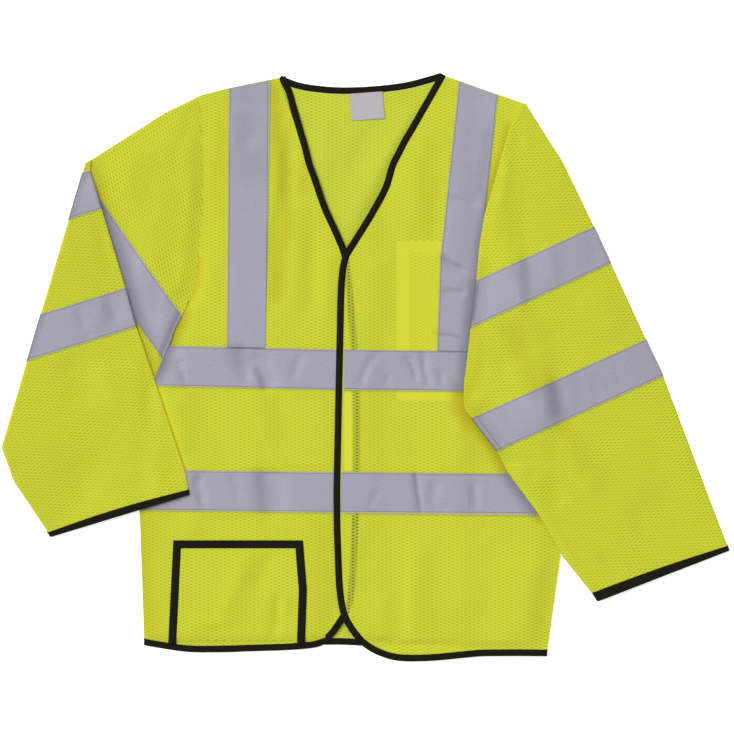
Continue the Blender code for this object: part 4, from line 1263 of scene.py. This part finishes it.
def tube(rows, walls, steps, out=0.0):
    """A flattened tube over rows of (one edge, other edge, anything else). walls gives the outer
    spots of the two walls, the place on the flat cloth and its painted shade. out lets the tube
    out."""
    mesh = bmesh.new()
    bmesh.ops.create_grid(mesh, x_segments=2 * steps, y_segments=len(rows) - 1, size=1.0)
    layer = mesh.loops.layers.uv.new("cloth")
    shade = mesh.verts.layers.float.new("shade")
    painted_edge_glow = mesh.verts.layers.float.new("painted_edge_glow")
    spots = {}
    for vert in mesh.verts:
        i = round((vert.co.x + 1.0) * steps)
        row = rows[round((vert.co.y + 1.0) / 2.0 * (len(rows) - 1))]
        one = Vector(row[0])
        other = Vector(row[1])
        width = (other - one).length
        let_out = (other - one) * (out / width)
        wall, share, lift = across(i % (2 * steps), steps, width + 2 * out, NOSE + out)
        spot = (one - let_out).lerp(other + let_out, share)
        first, second, flat, dim = walls(row, share, spot)
        half = (first - second) / 2
        grown = wall * lift * (half.length + out) / half.length
        spots[vert] = ((first + second) / 2 + half * grown, flat)
        # A folded edge on the lamp's side gets a painted shade; the folded end's edge away from the
        # lamp gets a painted glow.
        west = (other.x - one.x) * (share - 0.5) < 0.0
        vert[shade] = max(dim, (1.0 - lift ** 4 if out else 0.5 - 0.5 * lift) if west else 0.0)
        vert[painted_edge_glow] = 0.0 if west or "cuff" not in row else 1.0 - lift
    for face in mesh.faces:
        for loop in face.loops:
            u, v = spots[loop.vert][1]
            loop[layer].uv = (u * MM, v * MM)
    for vert, (spot, _) in spots.items():
        vert.co = spot
    bmesh.ops.remove_doubles(mesh, verts=mesh.verts[:], dist=0.001)
    bmesh.ops.recalc_face_normals(mesh, faces=mesh.faces[:])
    top = max(mesh.faces, key=lambda face: face.calc_center_median().z)
    if top.normal.z < 0:
        bmesh.ops.reverse_faces(mesh, faces=mesh.faces[:])
    return mesh


def keep_band(mesh, line, start, end):
    """Cuts a tube down to what lies from start to end below a line (spot, direction)."""
    along = Vector(line[1]).normalized()
    down = Vector((along.y, -along.x))
    for distance, far in ((start, False), (end, True)):
        geometry = mesh.verts[:] + mesh.edges[:] + mesh.faces[:]
        spot = Vector(line[0]) + down * distance
        bmesh.ops.bisect_plane(mesh, geom=geometry, dist=0.0001, plane_co=(*spot, 0.0),
                               plane_no=(*down, 0.0), clear_outer=far, clear_inner=not far)
    return mesh


def band_map(mesh, line):
    """The map of a tape on a sleeve: u along the line, v down from it."""
    along = Vector(line[1]).normalized()
    layer = mesh.loops.layers.uv["cloth"]
    for face in mesh.faces:
        for loop in face.loops:
            away = loop.vert.co.xy - Vector(line[0])
            down = along.y * away.x - along.x * away.y
            loop[layer].uv = (away.dot(along) * MM, down * MM)


def sleeve_tape(rows, walls, steps, line):
    """A tape round a sleeve, its upper edge on a line (spot, direction)."""
    mesh = keep_band(tube(rows, walls, steps, ON_CLOTH), line, -FRINGE, TAPE / MM + FRINGE)
    band_map(mesh, line)
    return mesh


def bow_cuff(mesh, line, start, middle, end):
    """Moves the upper edge of a cuff's binding up, so far at its start, middle and end, on the wall
    that shows. The middle counts from the straight line between the other two."""
    along = Vector(line[1]).normalized()
    up = Vector((-along.y, along.x))
    places = {vert: vert.co.xy - Vector(line[0]) for vert in mesh.verts}
    runs = [away.dot(along) for away in places.values()]
    mesh.normal_update()
    moves = []
    for vert, away in places.items():
        share = (away.dot(along) - min(runs)) / (max(runs) - min(runs))
        bow = start + (end - start) * share + middle * math.sin(math.pi * share)
        shows = ramp(vert.normal.z, -0.5, 0.5)
        moves.append((vert, up * bow * shows * ramp(away.dot(up), 0.0, 9.0)))
    for vert, move in moves:
        vert.co.xy += move


print("a row of", 2 * NOSE_STEPS, "nose corners and its two walls")

# %% [markdown]
# ## The left sleeve
#
# It is turned down at the shoulder and lies along the body, with its inner half over the front. It
# is highest over the chest, sinks to the table beyond the body's side, and is nearly flat at the
# cuff. Two tapes go round it, and a binding closes the cuff.

# %% Left sleeve
SLEEVE_GRID = 5.0
LEFT_STOPS = (
    ((210.7, 347.0), (203.3, 340.6)), ((301.0, 184.1), (145.2, 112.2)),
    ((369.6, 35.6), (141.1, -69.7)), ((479.2, -242.4), (305.8, -309.1)),
)
# Lines as a spot and a direction: the upper edges of the tapes, and the end of the cuff.
LEFT_UPPER_BAND = ((301.0, 184.1), (155.8, 71.6))
LEFT_LOWER_BAND = ((370.1, 35.6), (229.5, 103.8))
LEFT_CUFF_LINE = ((305.8, -309.1), (173.4, 66.7))
# Lines as two spots: the body's side, and the shoulder, from which the cuff is told.
LEFT_BODY_LINE = ((262.0, -250.0), (216.0, 347.0))
LEFT_SHOULDER_LINE = ((210.7, 347.0), (188.0, 337.0))
LEFT_EDGES = (LEFT_OUTER, LEFT_INNER)

LEFT_STEPS = 54
LEFT_TURN = 23.0
# The seam under the arm lies this far in from the sleeve's inner edge.
SEAM_INSET = 6.4

# Columns as for the body's creases.
LEFT_CREASES = (
    # the pleat at the shoulder
    (((203, 340), (190, 318), (184, 296)), 5, 5, 1.4),
    (((186, 296), (184, 250), (172, 190), (166, 150)), 8, 12, 1),
    (((240, 280), (250, 230), (268, 190)), 24, 28, 0.6),
    (((196, 240), (206, 190), (204, 150)), 14, 18, -0.5),
    # where it falls off the armhole below it
    (((196, 176), (200, 134), (202, 96), (196, 50)), 9, 28, 2),
    (((238, 170), (244, 136), (251, 104)), 9, 18, 1.3),
    (((298, 160), (300, 145), (304, 130)), 7, 7, -0.6),
    (((170, 110), (190, 92), (206, 84)), 6, 8, -0.7),
    # between the tapes
    (((180, 66), (196, 30), (214, 4)), 16, 20, -1.3),
    (((150, 60), (143, 10), (138, -30)), 8, 12, 1.4),
    (((290, 110), (310, 70), (330, 30)), 22, 26, 1.2),
    (((240, 60), (262, 26), (280, 4)), 14, 18, -1),
    # where it falls off the body's side
    (((220, 30), (230, -16), (237, -58), (248, -104)), 16, 40, 3.4),
    (((262, 4), (268, -30), (276, -62)), 8, 10, 1),
    (((300, -6), (304, -24), (312, -42)), 4, 5, -0.7),
    (((316, 0), (318, -20), (326, -38)), 4, 5, -0.5),
    (((330, -2), (334, -16), (340, -30)), 4, 4, -0.4),
    (((258, -70), (276, -105), (292, -140), (306, -180)), 22, 16, 2.4),
    (((140, -36), (148, -46), (154, -56)), 9, 10, 1.8),
    # the underarm seam, its pucker and the cloth beside it
    (((184, -116), (206, -121), (228, -124), (246, -136)), 5, 6, -1.7),
    (((196, -127), (204, -131), (214, -146)), 6, 7, 1.7),
    (((186, -122), (214, -163), (246, -210), (272, -252), (298, -290)),
     3.5, 4.5, 1.6),
    (((232, -150), (248, -168), (258, -184)), 9, 11, -1.6),
    (((244, -196), (256, -195), (268, -198)), 4, 6, 0.8),
    (((302, -246), (322, -258), (342, -278)), 7, 9, -1.3),
    (((352, -180), (364, -205), (368, -236)), 12, 10, -0.9),
    (((330, -80), (356, -130), (378, -190)), 30, 34, 1.6),
    (((400, -90), (424, -150), (446, -210)), 22, 20, 0.9),
)

# Painted shade on the left sleeve and its tapes. Columns as for the painted shade on the body.
LEFT_PAINTED_SHADES = (
    (((145.5, 107), (139.5, 62)), 6.5, 1),
    (((244, -28), (250, -56)), 20, 0.38),
    (((208, 132), (209, 98)), 10, 0.08),
    (((196, 44), (212, 4), (224, -26)), 26, 0.22),
    (((258, -74), (272, -100), (284, -132)), 22, 0.16),
    (((149, 130), (137, 45), (129, -40), (175, -114)), 20, 0.25),
)


def left_walls(row, share, spot):
    """The left sleeve's upper and lower wall, its cloth turned as it hangs, and its painted shade.
    """
    x, y = spot
    # It rises from the shoulder seam onto the body, and sinks to the table beyond the body's side.
    off_body = -left_of(*LEFT_BODY_LINE, x, y)
    on_body = 2.6 + 2.9 * ramp(347.0 - y, 10.0, 110.0)
    base = on_body * (1.0 - ramp(off_body, -10.0, 180.0)) + body_relief(x, y)
    # It is fullest along its middle, and flatter towards the cuff.
    towards_cuff = left_of(*LEFT_SHOULDER_LINE, x, y)
    edge = min(off_line(line, x, y) for line in LEFT_EDGES)
    puff = 1.7 * (1.0 - 0.4 * ramp(towards_cuff, 380.0, 640.0)) * ramp(edge, -8.0, 36.0)
    soft = 0.25 * waves(x, y, 70.0, 11.0) + 1.1 * crease_height(LEFT_CREASES, x, y)
    soft = soft * ramp(edge, 0.0, 12.0)
    upper = Vector((x, y, max(TUBE + base + puff + soft, LAYER + base + 2.0)))
    # Painted shade from the table above.
    dim = closeness(LEFT_PAINTED_SHADES, x, y)
    return upper, Vector((x, y, LAYER + base)), turned(LEFT_TURN)(x, y), dim


left_outer_line = smooth_line(LEFT_OUTER)
left_inner_line = smooth_line(LEFT_INNER)
LEFT_ROWS = paired(left_outer_line, left_inner_line, LEFT_STOPS, SLEEVE_GRID)

sleeve = keep_band(tube(LEFT_ROWS, left_walls, LEFT_STEPS), LEFT_CUFF_LINE, -2000.0, -3.0)
LEFT_SLEEVE = make_piece("left_sleeve_cloth", sleeve, SLEEVE_MESH_PAINTED_DARKER, ["sleeve_left"],
                         SLEEVE_WALL)
for name, node, line in (
        ("left_sleeve_upper_tape", "sleeve_left_tape_upper", LEFT_UPPER_BAND),
        ("left_sleeve_lower_tape", "sleeve_left_tape_lower", LEFT_LOWER_BAND)):
    band = sleeve_tape(LEFT_ROWS, left_walls, LEFT_STEPS, line)
    keep(band, "past_seam", lambda x, y: SEAM_MARK + (
        off_line(LEFT_INNER[10:12], x, y) - SEAM_INSET) * MM)
    TAPES[node] = make_piece(name, band, TAPE_FILM, [node], TAPE_WALL)
cuff = keep_band(tube(LEFT_ROWS[-8:], left_walls, LEFT_STEPS, ON_CUFF), LEFT_CUFF_LINE, -9.5, 1.5)
band_map(cuff, LEFT_CUFF_LINE)
bow_cuff(cuff, LEFT_CUFF_LINE, 4.0, 1.8, -2.6)
BINDINGS["left_cuff"] = make_piece("left_cuff_binding", cuff, BIAS_TWILL,
                                   ["cuff_binding_left"], CUFF_WALL)
print(COUNT)

# %% [markdown]
# ## The right sleeve
#
# It goes out from the armhole, folds once along a slanting crease, and comes back down over the
# body's side. So its rows run out along the upper arm, round the crease, and on to the cuff. The
# wall that lies on the table turns over at the crease and becomes the wall that shows. Its two
# ends slant, so that the crease's tips are as sharp as pressed cloth's. The armhole's edge goes a
# few millimetres in under the front, as a seam does. A tape's film gets more painted shade than
# cloth does.

# %% Right sleeve
RIGHT_CUFF_LINE = ((-415.8, -224.4), (182.8, 55.8))
RIGHT_ARM_BAND = ((-247.6, 71.3), (101.1, -144.0))
RIGHT_UPPER_BAND = ((-363.5, 257.9), (109.6, 34.1))
RIGHT_LOWER_BAND = ((-316.9, 103.0), (109.6, 34.1))
BODY_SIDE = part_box("back_panel")[0].x / MM

SEAM = 3.0
# How far the lower edge goes in under the front and down.
TUCK_IN = 1.8
TUCK_DOWN = 0.8
# The fold's outer radius, the inner wall's, and how far its two ends slant.
FOLD_RADIUS = 6.0
FOLD_INSIDE = 1.6
PAST_TOP = 6.9
PAST_FOOT = 8.1
FOLD_STEPS = 8
ARM_STEPS = 50
ARMHOLE_STEPS = 40
RIGHT_STEPS = 66
ARM_TURN = -57.3
CUFF_TURN = 18.0
FILM_PAINTED_SHADE = 2.2
down_crease = (Vector(CREASE_FOOT) - Vector(CREASE_TOP)).normalized()
OUT_OF_CREASE = Vector((down_crease.y, -down_crease.x))
fold_top = tuple(Vector(CREASE_TOP) - OUT_OF_CREASE * FOLD_RADIUS - down_crease * PAST_TOP)
fold_foot = tuple(Vector(CREASE_FOOT) - OUT_OF_CREASE * FOLD_RADIUS + down_crease * PAST_FOOT)

RIGHT_CREASES = (
    # between the tapes
    (((-352, 205), (-345, 160), (-328, 112)), 14, 10, -1.5),
    (((-398, 180), (-400, 140), (-408, 100)), 18, 24, 1.3),
    # on the lower tape
    (((-382, 84), (-376, 64), (-368, 46)), 10, 5, -1.4),
    (((-342, 100), (-336, 78), (-326, 52)), 12, 6, -1.5),
    (((-360, 48), (-366, 42), (-372, 36)), 4, 4, -0.8),
    (((-352, 92), (-352, 72), (-346, 52)), 8, 9, 0.9),
    # below it
    (((-400, 16), (-380, -16), (-366, -56)), 24, 20, -1.6),
    (((-352, 14), (-334, -30), (-326, -80)), 22, 22, 1.4),
    (((-306, 36), (-300, -40), (-300, -110)), 14, 16, 1.4),
    (((-290, -20), (-288, -40), (-282, -66)), 8, 10, -0.9),
    (((-390, -120), (-372, -150), (-360, -180)), 14, 16, -0.8),
    (((-268, -110), (-258, -135), (-250, -160)), 12, 14, -0.8),
)
ARM_CREASES = (
    (((-228, 345), (-232, 315), (-246, 290)), 11, 9, -1.8),
    (((-300, 290), (-312, 250), (-326, 210)), 20, 22, 1.2),
    (((-221, 325), (-220, 260), (-222, 190), (-228, 140)), 8, 14, 2),
    (((-262, 260), (-268, 210), (-280, 170)), 18, 18, 0.9),
    (((-258, 170), (-256, 130), (-262, 105)), 12, 12, -1.2),
    (((-306, 160), (-316, 130), (-322, 118)), 9, 9, -1.6),
    (((-292, 150), (-304, 110), (-300, 66)), 7, 9, 1.2),
    (((-280, 120), (-278, 86), (-284, 56)), 11, 14, -2),
    (((-262, 76), (-270, 50), (-282, 28)), 8, 6, 1.6),
)


def cuff_end_heights(x, y):
    """The folded-over end's upper and lower wall."""
    # It lies on the upper arm and the body, and sinks to the table where neither is below it.
    below_arm = -left_of(CREASE_FOOT, UNDERARM, x, y)
    on_nothing = min(ramp(below_arm, 12.0, 150.0), ramp(BODY_SIDE - x, 5.0, 130.0))
    base = 4.1 * (1.0 - on_nothing) + body_relief(x, y)
    # The crease holds it up, except at its pressed top corner.
    from_crease = left_of(CREASE_TOP, CREASE_FOOT, x, y)
    towards_cuff = left_of((-300.0, -52.0), CREASE_FOOT, x, y)
    edge = min(off_line(CUFF_INNER, x, y), off_line(CUFF_OUTER, x, y))
    puff = 2.4 * (1.0 - 0.6 * ramp(towards_cuff, 0.0, 110.0)) * ramp(edge, -5.0, 60.0)
    corner = 1.0 - ramp(math.dist((x, y), CREASE_TOP), 10.0, 60.0)
    lift = 2.5 * (1.0 - ramp(from_crease, 10.0, 110.0)) * (1.0 - corner)
    base -= 1.2 * corner
    soft = 0.25 * waves(x, y, 70.0, 23.0) + crease_height(RIGHT_CREASES, x, y)
    soft = soft * ramp(edge, 0.0, 12.0) - 0.8 * corner
    return max(TUBE + base + puff + lift + soft, LAYER + base + 1.5), LAYER + base


def upper_arm_height(x, y):
    """The upper arm's upper wall, flat where the folded-over end lies on it."""
    clear = -left_of((-233.0, -168.6), (-363.5, 257.9), x, y)
    seam = off_line(ARMHOLE, x, y)
    edge = min(off_line(ARM_UPPER + (CREASE_TOP,), x, y), off_line(ARM_LOWER, x, y))
    open_part = ramp(clear, 8.0, 50.0) * ramp(seam, 0.0, 24.0)
    soft = 0.3 * waves(x, y, 60.0, 31.0) + 0.5 + crease_height(ARM_CREASES, x, y)
    return TUBE + max(2.5 * ramp(edge, 0.0, 40.0) + soft, 0.0) * open_part


ARMHOLE_POINTS = even(smooth_line(ARMHOLE), ARMHOLE_STEPS)


def armhole_bow(share):
    """How far the armhole's curve is from the straight line between its ends."""
    place = min(max(share, 0.0), 1.0) * ARMHOLE_STEPS
    k = min(int(place), ARMHOLE_STEPS - 1)
    curve = Vector(ARMHOLE_POINTS[k]).lerp(Vector(ARMHOLE_POINTS[k + 1]), place - k)
    straight = Vector(ARMHOLE_POINTS[0]).lerp(Vector(ARMHOLE_POINTS[-1]), place / ARMHOLE_STEPS)
    return curve - straight


def right_walls(row, share, spot):
    """The wall that ends up on top and the one inside, for a row of the arm, fold or cuff end."""
    _, _, leg, amount = row
    if leg == "arm":
        # The first row is the armhole's, so it bows as that does, and the seam tucks it in.
        x, y = spot + armhole_bow(share) * (1.0 - amount)
        tuck = float(amount == 0.0)
        first = Vector((x + SEAM * tuck, y, LAYER))
        second = Vector((x + SEAM * tuck, y, upper_arm_height(x, y) - 0.9 * tuck))
        # Painted shade beside the folded-over end and along the underarm edge.
        dim = max(0.3 * (1.0 - ramp(off_line(CUFF_INNER, x, y), 0.0, 22.0)),
                  0.3 * (1.0 - ramp(off_line(ARM_LOWER, x, y), 0.0, 8.0)))
        return first, second, turned(ARM_TURN)(x, y), dim
    x, y = spot
    upper, lower = cuff_end_heights(x, y)
    if leg == "cuff":
        # Painted shade along the crease.
        dim = 0.2 * (1.0 - ramp(left_of(CREASE_TOP, CREASE_FOOT, x, y), 2.0, 10.0))
        return Vector((x, y, upper)), Vector((x, y, lower)), turned(CUFF_TURN)(x, y), dim
    # Round the fold both walls swing over, the inner one on a smaller radius.
    arm_top = upper_arm_height(x, y)
    reach_out = OUT_OF_CREASE * math.sin(amount)
    turn = (1.0 - math.cos(amount)) / 2.0
    spot = spot + down_crease * math.sin(amount) * (
        PAST_TOP * (1.0 - ramp(share, 0.0, 0.05)) - PAST_FOOT * ramp(share, 0.95, 1.0))
    inside = FOLD_RADIUS + (FOLD_INSIDE - FOLD_RADIUS) * ramp(min(share, 1.0 - share), 0.0, 0.012)
    first = Vector((*(spot + reach_out * FOLD_RADIUS), LAYER + (upper - LAYER) * turn))
    second = Vector((*(spot + reach_out * inside), arm_top + (lower - arm_top) * turn))
    unrolled = spot + OUT_OF_CREASE * FOLD_RADIUS * (math.pi - amount)
    # The fold gets a painted shade, strongest where it reaches out furthest.
    return first, second, turned(CUFF_TURN)(*unrolled), 0.2 + 0.25 * math.sin(amount)


def taped_walls(row, share, spot):
    """The same walls for a tape, whose film gets more painted shade."""
    first, second, flat, dim = right_walls(row, share, spot)
    return first, second, flat, FILM_PAINTED_SHADE * dim


upper_line = even(smooth_line(ARM_UPPER + (fold_top,)), ARM_STEPS)
tucked = tuple((x + TUCK_IN, y - TUCK_DOWN) for x, y in ARM_LOWER)
lower_line = even(smooth_line(tucked + (fold_foot,)), ARM_STEPS)
ARM_ROWS = [(one, other, "arm", k / ARM_STEPS)
            for k, (one, other) in enumerate(zip(upper_line, lower_line))]
FOLD_ROWS = [(fold_top, fold_foot, "fold", math.pi * k / FOLD_STEPS) for k in range(FOLD_STEPS + 1)]
inner_line = smooth_line((fold_top,) + CUFF_INNER)
outer_line = smooth_line((fold_foot,) + CUFF_OUTER)
CUFF_ROWS = [(one, other, "cuff", 0.0) for one, other in paired(
    inner_line, outer_line, ((fold_top, fold_foot), (CUFF_INNER[-1], CUFF_OUTER[-1])), SLEEVE_GRID)]

sleeve = tube(ARM_ROWS + FOLD_ROWS + CUFF_ROWS, right_walls, RIGHT_STEPS)
keep_band(sleeve, RIGHT_CUFF_LINE, -2000.0, -3.0)
RIGHT_SLEEVE = make_piece("right_sleeve_cloth", sleeve, SLEEVE_MESH_PAINTED_DARKER,
                          ["sleeve_right"], SLEEVE_WALL)

lower_band = sleeve_tape(ARM_ROWS[-5:] + FOLD_ROWS + CUFF_ROWS, taped_walls, RIGHT_STEPS,
                         RIGHT_LOWER_BAND)
TAPES["sleeve_right_tape_lower"] = make_piece(
    "right_sleeve_lower_tape", lower_band, TAPE_FILM,
    ["sleeve_right_tape_lower"], TAPE_WALL)

# The upper tape is one ring, but the fold parts what shows of it: it is made twice and joined.
upper_band = sleeve_tape(FOLD_ROWS + CUFF_ROWS, taped_walls, RIGHT_STEPS, RIGHT_UPPER_BAND)
arm_band = sleeve_tape(ARM_ROWS[2:], taped_walls, RIGHT_STEPS, RIGHT_ARM_BAND)
spare = bpy.data.meshes.new("spare")
arm_band.to_mesh(spare)
arm_band.free()
upper_band.from_mesh(spare)
bpy.data.meshes.remove(spare)
TAPES["sleeve_right_tape_upper"] = make_piece(
    "right_sleeve_upper_tape", upper_band, TAPE_FILM,
    ["sleeve_right_tape_upper"], TAPE_WALL)

cuff = keep_band(tube(CUFF_ROWS[-14:], right_walls, RIGHT_STEPS, ON_CUFF), RIGHT_CUFF_LINE,
                 -9.0, 1.0)
band_map(cuff, RIGHT_CUFF_LINE)
bow_cuff(cuff, RIGHT_CUFF_LINE, -2.0, 3.2, -2.0)
BINDINGS["right_cuff"] = make_piece("right_cuff_binding", cuff, BIAS_TWILL,
                                    ["cuff_binding_right"], CUFF_WALL)
print(COUNT)

# %% [markdown]
# ## The panels' outlines
#
# The five flat pieces' outlines are read once more here, and nothing is made from them. The
# panels' cuts are their own outlines. A sleeve's cut is twice its flat width at the widest, by its
# length, and its area is less because it narrows to the cuff.


outline("back_panel")
outline("front_right")
outline("front_left")
outline("pocket_patch")
outline("chest_pocket")
